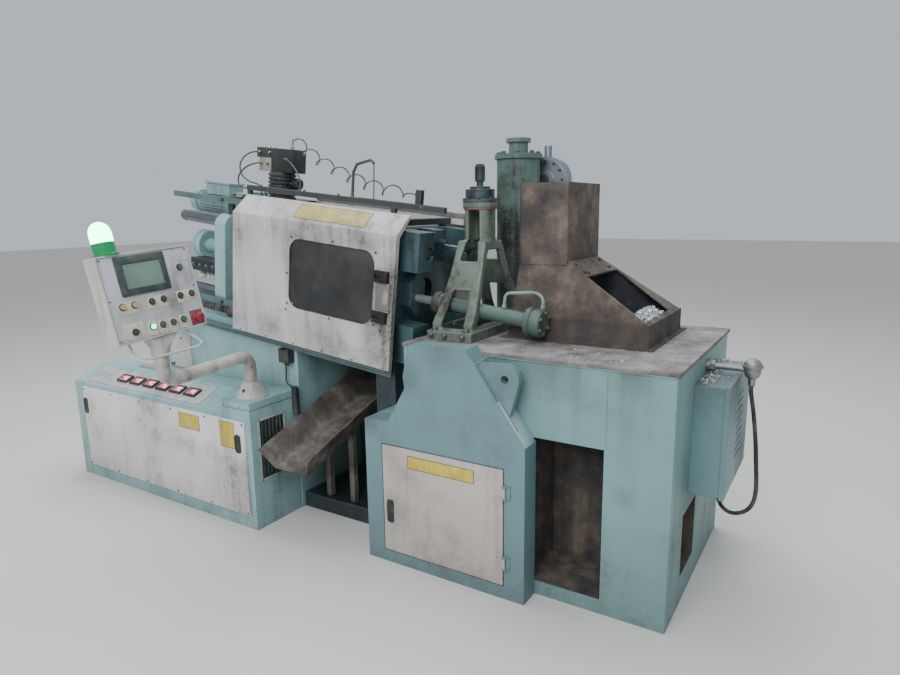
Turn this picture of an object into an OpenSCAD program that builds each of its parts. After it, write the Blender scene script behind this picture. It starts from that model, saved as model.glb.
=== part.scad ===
// Hot chamber die casting machine: a tilted clamping unit on a bed, a furnace with its hood and shot yoke,
// a control cabinet with a swinging operator's pendant, and the guards and pipes round them.
// X runs along the machine towards the furnace, Y away from the operator, Z up from the floor.
// The origin is on the floor, under the machine's axis.

/* [Clamping unit] */
// Height of the clamping axis above the floor, at the origin
axis_z = 1200; // [1150:10:1250]
// Slope of the clamping axis, down towards the furnace, in degrees
tilt = 6.4; // [5:0.1:7.5]
// Diameter of a tie bar
bar_d = 64; // [56:1:70]
// Distance between tie bars across the machine
bar_gap_y = 360; // [340:5:380]
// Distance between tie bars up and down
bar_gap_z = 406; // [390:2:420]
// Width of each platen across the machine
platen_w = 540; // [520:5:560]
// Height of the fixed platen
platen_h = 600; // [580:5:620]
// Height of the rear platen
rear_h = 490; // [480:5:520]
// Thickness of the fixed platen
fixed_t = 100; // [80:5:120]
// Thickness of the moving platen
moving_t = 100; // [80:5:120]
// Thickness of the rear platen
rear_t = 85; // [70:5:100]
// Distance along the axis to the furnace side of the fixed platen
fixed_face = 300; // [290:1:310]
// Distance along the axis to the back of the rear platen
rear_face = -905; // [-920:1:-890]
// Thickness of each half of the die
die_t = 210; // [190:5:215]
// Width and height of the die
die_w = 290; // [250:5:290]
// How far the tie bars stand out past the rear platen
bar_out = 365; // [300:5:400]
// Diameter of the clamping ram
ram_d = 110; // [90:5:130]

/* [Safety door] */
// Length of the safety door along the axis
door_len = 1030; // [1000:5:1045]
// Height of the upright part of the safety door
door_h = 610; // [590:5:620]
// Rise of the sloping top of the safety door
door_rise = 88; // [70:2:100]
// Depth of the sloping top of the safety door
door_lean = 95; // [80:1:100]
// Thickness of the door sheet
door_sheet = 4; // [3:0.5:5]
// Distance from the axis to the front of the safety door
door_y = 350; // [345:1:360]
// Width of the window in the safety door
win_w = 510; // [450:5:540]
// Height of the window in the safety door
win_h = 330; // [280:5:350]

/* [Furnace] */
// Length of the furnace from the end of the base frame
furnace_len = 1300; // [1280:5:1320]
// Height of the furnace's working top
top_z = 990; // [980:1:1000]
// Thickness of the furnace's top plate
top_t = 15; // [12:1:20]
// Distance from the axis to the front of the furnace
furnace_front = 400; // [390:5:410]
// Distance from the axis to the back of the furnace
furnace_back = 575; // [560:5:590]
// Inner diameter of the crucible
pot_d = 330; // [300:5:340]
// Depth of the crucible
pot_depth = 320; // [250:10:400]
// Height of the hood's chimney above the floor
hood_top = 1655; // [1600:5:1700]
// Thickness of the hood's sheet
hood_sheet = 4; // [3:0.5:6]

/* [Tool cabinet] */
// Thickness of the tool cabinet's front frame
ped_t = 100; // [90:5:110]
// Width of the tool cabinet's door
tool_w = 589; // [560:1:600]
// Height of the tool cabinet's door
tool_h = 492; // [460:1:500]
// Running clearance round the tool cabinet's door
tool_gap = 5; // [5:0.5:8]
// Depth of the tool cabinet behind its frame
tool_depth = 250; // [200:5:280]

/* [Control cabinet] */
// Length of the control cabinet
cab_len = 1515; // [1480:5:1530]
// Height of the control cabinet's front
cab_front_h = 575; // [560:5:590]
// Height of the control cabinet's back
cab_back_h = 650; // [640:5:670]
// Depth of the sloping meter desk
desk_depth = 180; // [160:5:200]
// Number of meters on the desk
meters = 6; // [4:1:6]
// Width of a meter's bezel
meter_w = 96; // [90:1:100]
// Height of a meter's bezel
meter_h = 48; // [44:1:52]
// Distance between meters
meter_pitch = 119.5; // [112:0.5:122]

/* [Pendant] */
// Diameter of the pendant's tube
arm_d = 60; // [50:1:64]
// Reach of the pendant's arm
arm_reach = 554; // [500:5:560]
// Height of the pendant's arm above the cabinet's back edge
arm_rise = 210; // [200:5:240]
// Width of the pendant's box
box_w = 420; // [400:5:430]
// Height of the pendant's box
box_h = 350; // [340:5:360]
// Depth of the pendant's box
box_t = 75; // [60:5:90]

/* [Hidden] */
$fn = 48;

bed_left = -1400;
bed_right = -320;
pit_right = 190;
furnace_left = 300;
step_x = 450;
furnace_right = furnace_left + furnace_len;
bed_w = platen_w;
ped_y = -furnace_front - ped_t;

// Places the children in the frame of the clamping axis: X along the axis, Z square to it
module on_axis() translate([0, 0, axis_z]) rotate([0, tilt, 0]) children();
// A cylinder along X from x0 to x1
module along_x(x0, x1, d) translate([x0, 0, 0]) rotate([0, 90, 0]) cylinder(h = x1 - x0, d = d);
// Places the children at the four tie bars
module at_bars() for (y = [-1, 1], z = [-1, 1]) translate([0, y * bar_gap_y / 2, z * bar_gap_z / 2])
    children();
// A box from its lowest to its highest corner
module block(a, b) translate(a) cube([b[0] - a[0], b[1] - a[1], b[2] - a[2]]);
function unit(v) = v / norm(v);
function ahead(path, i) = unit(path[min(i + 1, len(path) - 1)] - path[max(i - 1, 0)]);
function ring(path, i, d, n) = let (t = ahead(path, i), a = unit(cross(t, [0, 1, 0])), b = cross(t, a))
    [for (k = [0 : n - 1]) path[i] + (a * cos(k * 360 / n) + b * sin(k * 360 / n)) * d / 2];
// A closed tube with n sides, swept along a path that never runs along Y
module sweep(path, d, n = 12) let (m = len(path)) polyhedron(
    points = [for (i = [0 : m - 1]) each ring(path, i, d, n)],
    faces = concat([[for (k = [0 : n - 1]) k]], [[for (k = [n - 1 : -1 : 0]) (m - 1) * n + k]],
        [for (i = [0 : m - 2], k = [0 : n - 1]) let (l = (k + 1) % n)
            each [[i * n + k, (i + 1) * n + k, (i + 1) * n + l], [i * n + k, (i + 1) * n + l,
                i * n + l]]]));
// A rectangle with round corners, centred
module round_rect(w, h, r) hull() for (x = [-1, 1], y = [-1, 1]) translate([x * (w / 2 - r),
    y * (h / 2 - r)]) circle(r);

bed_top_w = -(rear_h / 2 + 60);
plinth_h = 630;
module machine_bed() color("#8fb6b8") difference() {
    union() {
        block([bed_left, -bed_w / 2, 0], [bed_right, bed_w / 2, axis_z]);
        block([bed_left - 20, -bed_w / 2 - 20, 0], [bed_right, bed_w / 2 + 20, plinth_h]);
    }
    on_axis() block([bed_left - 300, -bed_w, bed_top_w], [bed_right + 300, bed_w, bed_top_w + 900]);
}

cover_x = -1355;
// The access cover on the bed's front, above the control cabinet
module bed_cover() color("#cdc8c3") {
    block([cover_x, -bed_w / 2 - 4, cab_back_h + 6], [cover_x + 187, -bed_w / 2, cab_back_h + 203]);
    translate([cover_x + 20, -bed_w / 2 - 4, cab_back_h + 24]) rotate([90, 0, 0]) cylinder(h = 14, d = 18);
}

sill_h = 80;
wall_t = 70;
back_h = 872;
module base_frame() color("#5f8587") {
    block([bed_right, -bed_w / 2, 0], [furnace_left, bed_w / 2, sill_h]);
    block([bed_right, bed_w / 2 - wall_t, sill_h], [pit_right, bed_w / 2, back_h]);
    difference() {
        block([pit_right, -bed_w / 2, sill_h], [furnace_left, bed_w / 2, axis_z]);
        on_axis() block([-200, -bed_w, -platen_h / 2], [800, bed_w, platen_h]);
    }
}

chute_slope = 18.5;
chute_lip = [0, -575, 345];
chute_len = 800;
module chute() color("#5b4c44") {
    translate(chute_lip) rotate([chute_slope, 0, 0]) rotate([90, 0, 0]) mirror([0, 0, 1])
        linear_extrude(chute_len)
        polygon([[-280, 92], [-203, 0], [3, 0], [42, 92], [37, 94], [0, 5], [-200, 5], [-276, 95]]);
    for (x = [-190, -30]) difference() {
        block([x, -240, sill_h], [x + 30, -210, 600]);
        translate(chute_lip) rotate([chute_slope, 0, 0]) block([-400, -100, 2], [400, 900, 400]);
    }
}

cab_front = -600;
cab_back = -bed_w / 2 - 20;
cab_right = -325;
cab_left = cab_right - cab_len;
pad_left = cab_right - 190;
module cab_section() polygon([[cab_front, 0], [cab_back, 0], [cab_back, cab_back_h],
    [cab_front + desk_depth, cab_back_h],
    [cab_front, cab_front_h]]);
vent_y = [-550, -385];
vent_z = [250, 552];
module control_cabinet() color("#96bebe") difference() {
    union() {
        translate([cab_left, 0, 0]) rotate([90, 0, 90]) linear_extrude(cab_len) cab_section();
        block([pad_left, cab_front, 0], [cab_right, cab_back, cab_back_h]);
    }
    difference() {
        block([pad_left - 1, cab_front - 1, cab_back_h - 36], [cab_right + 1, cab_back + 1,
            cab_back_h - 33]);
        block([pad_left - 2, cab_front + 3, cab_back_h - 37], [cab_right - 3, cab_back + 2,
            cab_back_h - 32]);
    }
    difference() {
        block([cab_right - 18, vent_y[0], vent_z[0]], [cab_right + 1, vent_y[1], vent_z[1]]);
        for (y = [vent_y[0] + 25 : 23 : vent_y[1] - 20])
            translate([cab_right - 19, y, vent_z[0]]) rotate([0, 0, 25]) cube([14, 4,
                vent_z[1] - vent_z[0]]);
    }
}

panel_x0 = -1750;
panel_x1 = -362;
module cabinet_panel() color("#cdc8c3") difference() {
    block([panel_x0, cab_front - 12, 70], [panel_x1, cab_front, cab_front_h - 20]);
    for (x = [panel_x0 + 8, panel_x1 - 63]) block([x, cab_front - 13, 395], [x + 30, cab_front - 4, 485]);
}

desk_angle = atan2(cab_back_h - cab_front_h, desk_depth);
desk_x0 = -1745;
desk_x1 = -620;
module on_desk() translate([0, cab_front, cab_front_h]) rotate([desk_angle, 0, 0]) children();
module meter_desk() {
    color("#d8d6d2") on_desk() block([desk_x0, 20, 0], [desk_x1, 170, 3]);
    color("#1d1f21") for (i = [0 : meters - 1]) on_desk() translate([desk_x0 + 292 + i * meter_pitch, 92,
        3]) difference() {
        translate([-meter_w / 2, -meter_h / 2, 0]) cube([meter_w, meter_h, 12]);
        translate([9 - meter_w / 2, 10 - meter_h / 2, 9]) cube([meter_w - 18, meter_h - 20, 4]);
    }
}

base_p = [-430, -485];
cone_h = 80;
module pendant_base() color("#d0ccc6") translate([base_p[0], base_p[1], cab_back_h]) {
    rotate_extrude() polygon([[0, 0], [79, 0], [79, 5], [75, 8], [42, cone_h - 6], [42, cone_h], [0,
        cone_h]]);
    rotate([0, 0, 10]) translate([0, -58, 40]) rotate([64, 0, 0]) cylinder(h = 10, d = 13, center = true);
}

arm_angle = -79.6;
bend_r = 70;
riser = 115;
arm_z = cab_back_h + arm_rise;
riser_top = arm_z + riser;
module pendant_arm() color("#cfcac4") translate([base_p[0], base_p[1], 0]) rotate([0, 0, arm_angle]) {
    translate([0, 0, cab_back_h + cone_h + run_gap])
        cylinder(h = arm_z - bend_r - cab_back_h - cone_h - run_gap, d = arm_d);
    translate([bend_r, 0, arm_z - bend_r]) rotate([-90, 0, 0]) rotate([0, 0, 180])
        rotate_extrude(angle = 90)
        translate([bend_r, 0]) circle(d = arm_d);
    translate([0, 0, arm_z]) along_x(bend_r, arm_reach - bend_r, arm_d);
    translate([arm_reach - bend_r, 0, arm_z + bend_r]) rotate([-90, 0, 0]) rotate_extrude(angle = 90)
        translate([bend_r, 0]) circle(d = arm_d);
    translate([arm_reach, 0, arm_z + bend_r]) cylinder(h = riser_top - arm_z - bend_r, d = arm_d);
}

collar_h = 30;
rim = 7;
box_p = [base_p[0] + arm_reach * cos(arm_angle), base_p[1] + arm_reach * sin(arm_angle)];
box_z = riser_top + 259;
box_back = 9.8;
box_roll = -3.9;
// Places the children in the frame of the box: X to the right across its face, Y into the box from its face, Z up the face
module on_box() translate([box_p[0], box_p[1], box_z]) rotate([0, 0, 91.1]) rotate([-box_back, 0, 0])
    rotate([0, box_roll, 0]) children();
module pendant_box() color("#c9c6c6") {
    on_box() difference() {
        block([-box_w / 2, 0, -box_h / 2], [box_w / 2, box_t, box_h / 2]);
        block([-box_w / 2 + rim, -1, -box_h / 2 + rim], [box_w / 2 - rim, 4, box_h / 2 - rim]);
    }
    translate([box_p[0], box_p[1], riser_top + run_gap]) cylinder(h = collar_h, d = arm_d + 14);
    hull() {
        translate([box_p[0], box_p[1], riser_top + run_gap + collar_h - 1]) cylinder(h = 1, d = arm_d + 14);
        on_box() block([-62, 8, -box_h / 2 - 1], [62, box_t - 3, -box_h / 2 + 1]);
    }
    on_box() sweep([[-150, 30, -174], [-151, 15, -212], [-138, -12, -240], [-104, -30, -250], [-50, -34,
        -250], [112, -34, -254],
        [143, -22, -246], [146, 4, -222], [124, 24, -196], [122, 26, -174]], 10);
}
module pendant_screen() color("#2b4a45") on_box() difference() {
    block([-139, -2, 7], [84, 4, 163]);
    block([-108, -3, 33], [60, -0.5, 132]);
}
// Push buttons, lamps and a rotary switch as [across, up], and the stop button
buttons = [[-150, -29], [-98, -30], [-20, -31], [35, -30], [116, -31], [173, -31], [-46, -129], [1,
    -131], [51, -132],
    [102, -130], [147, 86]];
knob_p = [-125, -134];
stop_p = [170, -137];
module pendant_controls() color("#222222") on_box() {
    for (p = buttons) translate([p[0], 4, p[1]]) rotate([90, 0, 0]) {
        cylinder(h = 5, d = 29);
        cylinder(h = 12, d = 22);
    }
    translate([knob_p[0], 4, knob_p[1]]) rotate([90, 0, 0]) {
        cylinder(h = 5, d = 29);
        cylinder(h = 14, d = 22);
        translate([-12, -4, 14]) cube([24, 8, 8]);
    }
    translate([stop_p[0], 4, stop_p[1]]) rotate([90, 0, 0]) rotate_extrude()
        polygon([[0, 0], [15, 0], [15, 6], [11, 8], [11, 16], [20, 20], [20, 26], [17, 30], [0, 31]]);
}
module beacon() color("#35d07a") on_box() translate([-136, 37, box_h / 2]) rotate_extrude() polygon(concat(
    [[0, 0], [50, 0], [50, 22], [46, 26], [46, 56]], [for (a = [0 : 15 : 90]) [45 * cos(a),
        84 + 48 * sin(a)]]));

platen_r = 60;
module platen(x, t, h) difference() {
    union() {
        translate([x, 0, 0]) rotate([90, 0, 90]) linear_extrude(t) round_rect(platen_w, h, platen_r);
        children();
    }
    at_bars() along_x(x - 1, x + t + 1, bar_d + 1);
}
rear_x = rear_face;
clamp_w = 20;
module rear_platen() color("#a9cbcb") on_axis() {
    difference() {
        platen(rear_x, rear_t, rear_h)
            for (y = [-1, 1]) translate([rear_x, y * (platen_w / 2 - 60) - 50, bed_top_w]) cube([rear_t,
                100, 100]);
        translate([0, 0, clamp_w]) along_x(rear_x - 1, rear_x + rear_t + 1, ram_d + 1);
    }
}
moving_x = fixed_face - fixed_t - 2 * die_t - moving_t;
module moving_platen() color("#7da5a6") on_axis() platen(moving_x, moving_t, rear_h);
boss_len = 128;
cyl_v = -150;
cyl_w = -12;
cyl_d = 66;
module fixed_platen() color("#4d6f72") on_axis() {
    difference() {
        union() {
            platen(fixed_face - fixed_t, fixed_t, platen_h);
            for (y = [-1, 1], z = [-1, 1]) translate([fixed_face, y * (platen_w / 2 - 60) - 60,
                z * (platen_h / 2 - 88) - 88])
                cube([boss_len, 120, 176]);
            translate([fixed_face, cyl_v, cyl_w + 20]) rotate([90, 0, 90]) linear_extrude(60)
                polygon([[-55, -53], [-10, -98], [10, -98], [55, -53], [55, 53], [10, 98], [-10, 98],
                    [-55, 53]]);
            block([fixed_face, -100, platen_h / 2 - 50], [fixed_face + 102, -20, platen_h / 2 + 5]);
        }
        at_bars() along_x(fixed_face - fixed_t - 1, fixed_face + boss_len + 1, bar_d + 1);
        translate([0, cyl_v, cyl_w]) along_x(fixed_face + 30, fixed_face + 61, 26);
        along_x(fixed_face - fixed_t - 1, fixed_face + 1, 120);
    }
    translate([fixed_face + 55, -60, platen_h / 2 - 158]) cylinder(h = 118, d = 14);
    block([fixed_face + 37, -66, platen_h / 2 - 52], [fixed_face + 135, -54, platen_h / 2 - 38]);
}
module tie_bars() color("#5a6268") on_axis() at_bars() along_x(rear_x - bar_out,
    fixed_face + boss_len - 10, bar_d);
// The clamping cylinder's grooved head, its tube and the ram
module clamp_cylinder() color("#a3c6c4") on_axis() translate([0, 0, clamp_w]) {
    translate([rear_x - 440, 0, 0]) rotate([0, 90, 0]) rotate_extrude() polygon([[0, 0], [80, 0], [86,
        6], [86, 24], [79, 28],
        [79, 34], [86, 38], [86, 70], [70, 70], [70, 63], [46, 63], [46, 70], [0, 70]]);
    along_x(rear_x - 370, rear_x, 80);
    along_x(rear_x, moving_x, ram_d);
}
module fixed_die() color("#8d8f92") on_axis()
    block([fixed_face - fixed_t - die_t, -die_w / 2, -die_w / 2], [fixed_face - fixed_t, die_w / 2,
        die_w / 2]);
module moving_die() color("#7f8286") on_axis()
    block([moving_x + moving_t, -die_w / 2, -die_w / 2], [moving_x + moving_t + die_t, die_w / 2,
        die_w / 2]);

// The manifold on the rear platen, and the small oil bottles under it
module oil_manifold() {
    color("#33383c") on_axis() difference() {
        block([rear_x - 360, cyl_v, -115], [rear_x, -50, -42]);
        for (i = [0 : 5]) translate([rear_x - 330 + i * 55, cyl_v - 1, -78]) rotate([-90, 0, 0])
            cylinder(h = 12, d = 22);
    }
    color("#e6e4e0") on_axis() {
        for (u = [145, 190, 225, 259]) translate([rear_x - u, -100, -163]) rotate_extrude()
            polygon([[0, 0], [12, 0], [14, 3], [14, 30], [6, 38], [6, 48], [0, 48]]);
        translate([rear_x - 317, -100, -163]) rotate_extrude()
            polygon([[0, 0], [25, 0], [27, 3], [27, 26], [9, 38], [9, 48], [0, 48]]);
    }
}
motor_w = rear_h / 2 + 28;
motor_d = 135;
fins = 24;
// The geared motor: fan cover, finned body, gear case and terminal box, on its bracket
module gear_motor() color("#7fa6a3") on_axis() {
    translate([0, 40, motor_w]) {
        along_x(rear_x - 517, rear_x - 470, motor_d);
        along_x(rear_x - 470, rear_x - 463, motor_d - 20);
        along_x(rear_x - 463, rear_x - 193, motor_d - 18);
        for (i = [0 : fins - 1]) rotate([(i + 0.5) * 360 / fins, 0, 0])
            translate([rear_x - 450, motor_d / 2 - 12, -1.5]) cube([240, 12, 3]);
        along_x(rear_x - 205, rear_x - 193, motor_d);
        along_x(rear_x - 193, rear_x - 10, motor_d - 30);
    }
    block([rear_x - 150, -20, motor_w - 60], [rear_x - 40, 100, motor_w + 75]);
    block([rear_x - 10, -30, rear_h / 2 - 45], [rear_x, 110, motor_w + 90]);
    block([rear_x - 390, -10, motor_w + 50], [rear_x - 189, 90, motor_w + 112]);
    block([rear_x - 396, -16, motor_w + 112], [rear_x - 183, 96, motor_w + 122]);
}

rail_w = 325;
rail_h = 30;
rail_t = 10;
rail_y = 245;
rail_x0 = rear_x - 360;
rail_x1 = fixed_face + 40;
valve_x = -695;
beam_y = 235;
beam_w = rail_w + 66;
roller_d = 24;
run_gap = 0.3;
guide_w = -204;
// The top bar, the guide bar along the platens, and the angle under the door
module door_rails() color("#4b5254") on_axis() {
    block([rail_x0, -rail_y - rail_t, rail_w - rail_h / 2], [rail_x1, -rail_y, rail_w + rail_h / 2]);
    block([rear_x - 245, -bed_w / 2 - 15, guide_w - 35], [fixed_face, -bed_w / 2, guide_w]);
    block([rail_x0, -338, door_w0 - 14], [rail_x1, -290, door_w0 - 8]);
    block([rail_x0, -296, door_w0 - 48], [rail_x1, -290, door_w0 - 14]);
    for (x = [-640, 220]) block([x, -290, door_w0 - 48], [x + 40, -bed_w / 2, door_w0 - 8]);
}
links = 16;
link_pitch = 25;
// The cable chain hangs under the guide bar
module cable_chain() color("#1d1f21") on_axis() difference() {
    block([rear_x - 95, -bed_w / 2 - 30, guide_w - 70], [rear_x - 95 + links * link_pitch,
        -bed_w / 2 - 2, guide_w - 35]);
    for (i = [1 : links - 1]) translate([rear_x - 95 + i * link_pitch - 2, -bed_w / 2 - 31,
        guide_w - 71]) cube([4, 6, 32]);
}
// Two crossbars on posts carry the top rail, a third carries the valve block, and posts on them carry the beam
module guard_frame() color("#3f4648") on_axis() {
    for (x = [rear_x + 30, valve_x, 235]) block([x, -rail_y, rail_w - rail_h / 2], [x + 30, rail_y,
        rail_w + rail_h / 2]);
    for (y = [-1, 1]) {
        translate([rear_x + 30, y * 190 - 12, rear_h / 2]) cube([30, 24,
            rail_w - rail_h / 2 - rear_h / 2 + 1]);
        translate([235, y * 190 - 12, platen_h / 2]) cube([30, 24, rail_w - rail_h / 2 - platen_h / 2 + 1]);
    }
    for (x = [valve_x + 4, 239]) block([x, -beam_y, rail_w + rail_h / 2], [x + 22, -beam_y + 20, beam_w]);
    block([valve_x, -beam_y, beam_w], [37, -beam_y + 20, beam_w + 26]);
    difference() {
        block([37, -beam_y, beam_w], [520, -beam_y + 26, beam_w + 28]);
        block([38, -beam_y + 3, beam_w + 5], [521, -beam_y + 23, beam_w + 29]);
    }
    // The fitting that holds the coiled hose's end
    block([360, -beam_y + 10, beam_w + 27], [388, -beam_y + 38, beam_w + 90]);
    sweep([[5, -beam_y + 10, beam_w + 25], [5, -beam_y + 10, beam_w + 140], [24, -beam_y + 10,
        beam_w + 176],
        [104, -beam_y + 10, beam_w + 200], [122, -beam_y + 10, beam_w + 186]], 14);
    sweep([[122, -beam_y + 10, beam_w + 186], [133, -beam_y + 10, beam_w + 4]], 6);
}
door_u0 = fixed_face + 63 - door_len;
door_w0 = -327;
door_w1 = door_w0 + door_h;
module door_section() polygon([[-door_y, door_w0], [-door_y, door_w1], [-door_y + door_lean,
    door_w1 + door_rise],
    [-door_y + door_lean + 1, door_w1 + door_rise - door_sheet], [-door_y + door_sheet, door_w1 - 2],
    [-door_y + door_sheet, door_w0]]);
function lean_y(w) = -door_y + door_lean * (w - door_w1) / door_rise;
win_u = door_u0 + 660;
win_v = door_w0 + 359;
// The folded end returns of the door, closed round its sloping top
module door_return() polygon([[-door_y, door_w0], [-door_y, door_w1], [-door_y + door_lean,
    door_w1 + door_rise],
    [-door_y + door_lean + 1, door_w1 + door_rise - 18], [-door_y + 25, door_w1 - 10], [-door_y + 25,
        door_w0]]);
grip_w = [-57, 72];
module safety_door() color("#cfcac6") on_axis() {
    difference() {
        union() {
            translate([door_u0, 0, 0]) rotate([90, 0, 90]) linear_extrude(door_len) door_section();
            for (u = [door_u0, door_u0 + door_len - door_sheet])
                translate([u, 0, 0]) rotate([90, 0, 90]) linear_extrude(door_sheet) door_return();
            block([door_u0, -door_y, door_w0], [door_u0 + door_len, -door_y + 25, door_w0 + door_sheet]);
        }
        translate([win_u, -door_y - 1, win_v]) rotate([-90, 0, 0]) linear_extrude(door_sheet + 2)
            round_rect(win_w, win_h, 60);
    }
    block([door_u0 + door_len - 88, -door_y - 14, grip_w[0]], [door_u0 + door_len - 12, -door_y,
        grip_w[1]]);
}
// Hangers under the sloping top carry the rollers that run on the top rail
module door_hangers() color("#6b7072") on_axis() for (x = [door_u0 + 90, door_u0 + door_len - 110]) {
    block([x - 20, -272, rail_w + 5], [x + 20, -264, rail_w + 25]);
    translate([x, 0, rail_w + rail_h / 2 + run_gap + roller_d / 2]) rotate([90, 0, 0]) {
        translate([0, 0, 242]) cylinder(h = 15, d = roller_d);
        translate([0, 0, 257]) cylinder(h = 15, d = 10);
    }
}
module door_window() color("#3a3d40") on_axis() translate([win_u, -door_y + door_sheet, win_v])
    rotate([-90, 0, 0])
    linear_extrude(5) round_rect(win_w + 40, win_h + 40, 70);
module door_latches() color("#1d1f21") on_axis() for (w = [grip_w[0] - 52, grip_w[1]]) difference() {
    translate([door_u0 + door_len - 98, -door_y - 22, w]) cube([74, 22, 52]);
    translate([door_u0 + door_len - 90, -door_y - 23, w + 20]) cube([30, 8, 12]);
}
module rear_guard() color("#c4c0bc") on_axis() mirror([0, 1, 0]) {
    translate([door_u0, 0, 0]) rotate([90, 0, 90]) linear_extrude(door_len) door_section();
    for (u = [door_u0, door_u0 + door_len - door_sheet])
        translate([u, 0, 0]) rotate([90, 0, 90]) linear_extrude(door_sheet) door_return();
    block([rear_x, -rail_y - rail_t, rail_w - rail_h / 2], [rail_x1, -rail_y, rail_w + rail_h / 2]);
    for (x = [door_u0 + 60, door_u0 + door_len - 100]) translate([x, 0, 0]) rotate([90, 0, 90])
        linear_extrude(40)
        polygon([[lean_y(312) + 1, 312], [-rail_y - rail_t + 1, 312], [-rail_y - rail_t + 1, 330],
            [lean_y(330) + 1, 330]]);
}
valve_z = rail_w + rail_h / 2;
// The air valve on its crossbar: foot plate, finned body, block, cap, the pilot valve with its fittings, and a side knob
module valve_block() color("#23262b") on_axis() translate([valve_x + 15, 0, valve_z]) {
    block([-75, -70, 0], [75, 70, 8]);
    translate([0, 0, 8]) rotate_extrude() polygon(concat([[0, 0]], [for (i = [0 : 6]) each [[75, i * 20],
        [75, i * 20 + 9],
        [58, i * 20 + 11], [58, i * 20 + 18]]], [[75, 140], [75, 142], [0, 142]]));
    block([-136, -42, 150], [-38, 42, 220]);
    block([-38, -50, 150], [124, 50, 272]);
    block([-164, -34, 220], [-18, 34, 273]);
    for (x = [-140, -100, -60]) translate([x, 0, 273]) cylinder(h = 16, d = 14);
    translate([70, 0, 94]) along_x(0, 35, 30);
    translate([90, 0, 94]) along_x(0, 41, 62);
    // The stub that the coiled hose is pushed on
    translate([100, -30, 272]) cylinder(h = 24, d = 20);
}
hose_d = 48;
hose_sides = 10;
// The coiled air hose's route, from the valve's stub to the end of the beam
hose_path = [[-580, -30, 636], [-580, -30, 650], [-574, -34, 662], [-558, -38, 666], [-530, -46, 657],
    [-489, -60, 634],
    [-406, -80, 598], [-323, -96, 567], [-242, -112, 543], [-164, -127, 522], [-87, -142, 504], [-21,
        -154, 490],
    [46, -167, 478], [114, -178, 470], [180, -188, 464], [251, -198, 461], [310, -208, 460], [335, -211,
        460],
    [360, -211, 460]];
module air_hose() color("#1f3c5e") on_axis() sweep(hose_path, hose_d, hose_sides);

recess_x0 = 1040;
recess_x1 = 1350;
tool_x1 = 983;
tool_z0 = 60;
module tool_cavity(y0, y1) block([tool_x1 - tool_w - tool_gap, y0, tool_z0 - tool_gap],
    [tool_x1 + tool_gap, y1, tool_z0 + tool_h + tool_gap]);
pot_p = [1090, 110];
port_y = [-190, 40];
port_z = [120, 380];
module furnace_body() color("#789b96") difference() {
    union() {
        block([furnace_left, -furnace_front, 0], [step_x, furnace_back, 655]);
        block([step_x, -furnace_front, 0], [furnace_right, furnace_back, top_z - top_t]);
    }
    tool_cavity(-furnace_front - 1, -furnace_front + tool_depth);
    block([recess_x0, -furnace_front - 1, 60], [recess_x1, -furnace_front + 280, 670]);
    block([furnace_right - 180, port_y[0], port_z[0]], [furnace_right + 1, port_y[1], port_z[1]]);
    translate([pot_p[0], pot_p[1], top_z - pot_depth - 60]) cylinder(h = pot_depth + 60, d = pot_d + 50);
}
module furnace_top() color("#82766e") difference() {
    block([step_x - 8, -furnace_front, top_z - top_t], [furnace_right + 8, furnace_back + 8, top_z]);
    translate([pot_p[0], pot_p[1], top_z - top_t - 1]) cylinder(h = top_t + 2, d = pot_d + 10);
}
module crucible() color("#3d3733") translate([pot_p[0], pot_p[1], top_z]) rotate_extrude()
    polygon([[0, -pot_depth], [pot_d / 2 - 30, -pot_depth], [pot_d / 2, -pot_depth + 60], [pot_d / 2, 0],
        [pot_d / 2 + 15, 0],
        [pot_d / 2 + 15, 12], [pot_d / 2 - 20, 12], [pot_d / 2 - 20, -pot_depth + 60], [pot_d / 2 - 45,
            -pot_depth + 20],
        [0, -pot_depth + 20]]);

hood_front = -80;
hood_back = 300;
hood_x0 = 848;
hood_x1 = 1062;
trough_x = 1411;
slope_top = 1331;
slope_low = 1090;
slope_angle = atan2(slope_top - slope_low, trough_x - 9 - hood_x1);
module hood_side(g) polygon([[788 + g, top_z - 1], [815 + g, 1136], [hood_x0 + g, 1320], [hood_x0 + g,
    hood_top],
    [hood_x1 - g, hood_top], [hood_x1 - g, slope_top - g], [trough_x - 9 - g, slope_low - g],
        [trough_x - g, slope_low - g],
    [trough_x - g, top_z - 1]]);
module hood_plan(g) polygon([[700, hood_front + g], [trough_x - g, hood_front + g], [trough_x - g, 460 - g],
    [hood_x1, hood_back - g], [700, hood_back - g]]);
module hood_solid(g, z0, z1) intersection() {
    translate([0, 800, 0]) rotate([90, 0, 0]) linear_extrude(1600) hood_side(g);
    translate([0, 0, z0]) linear_extrude(z1 - z0) hood_plan(g);
}
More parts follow.
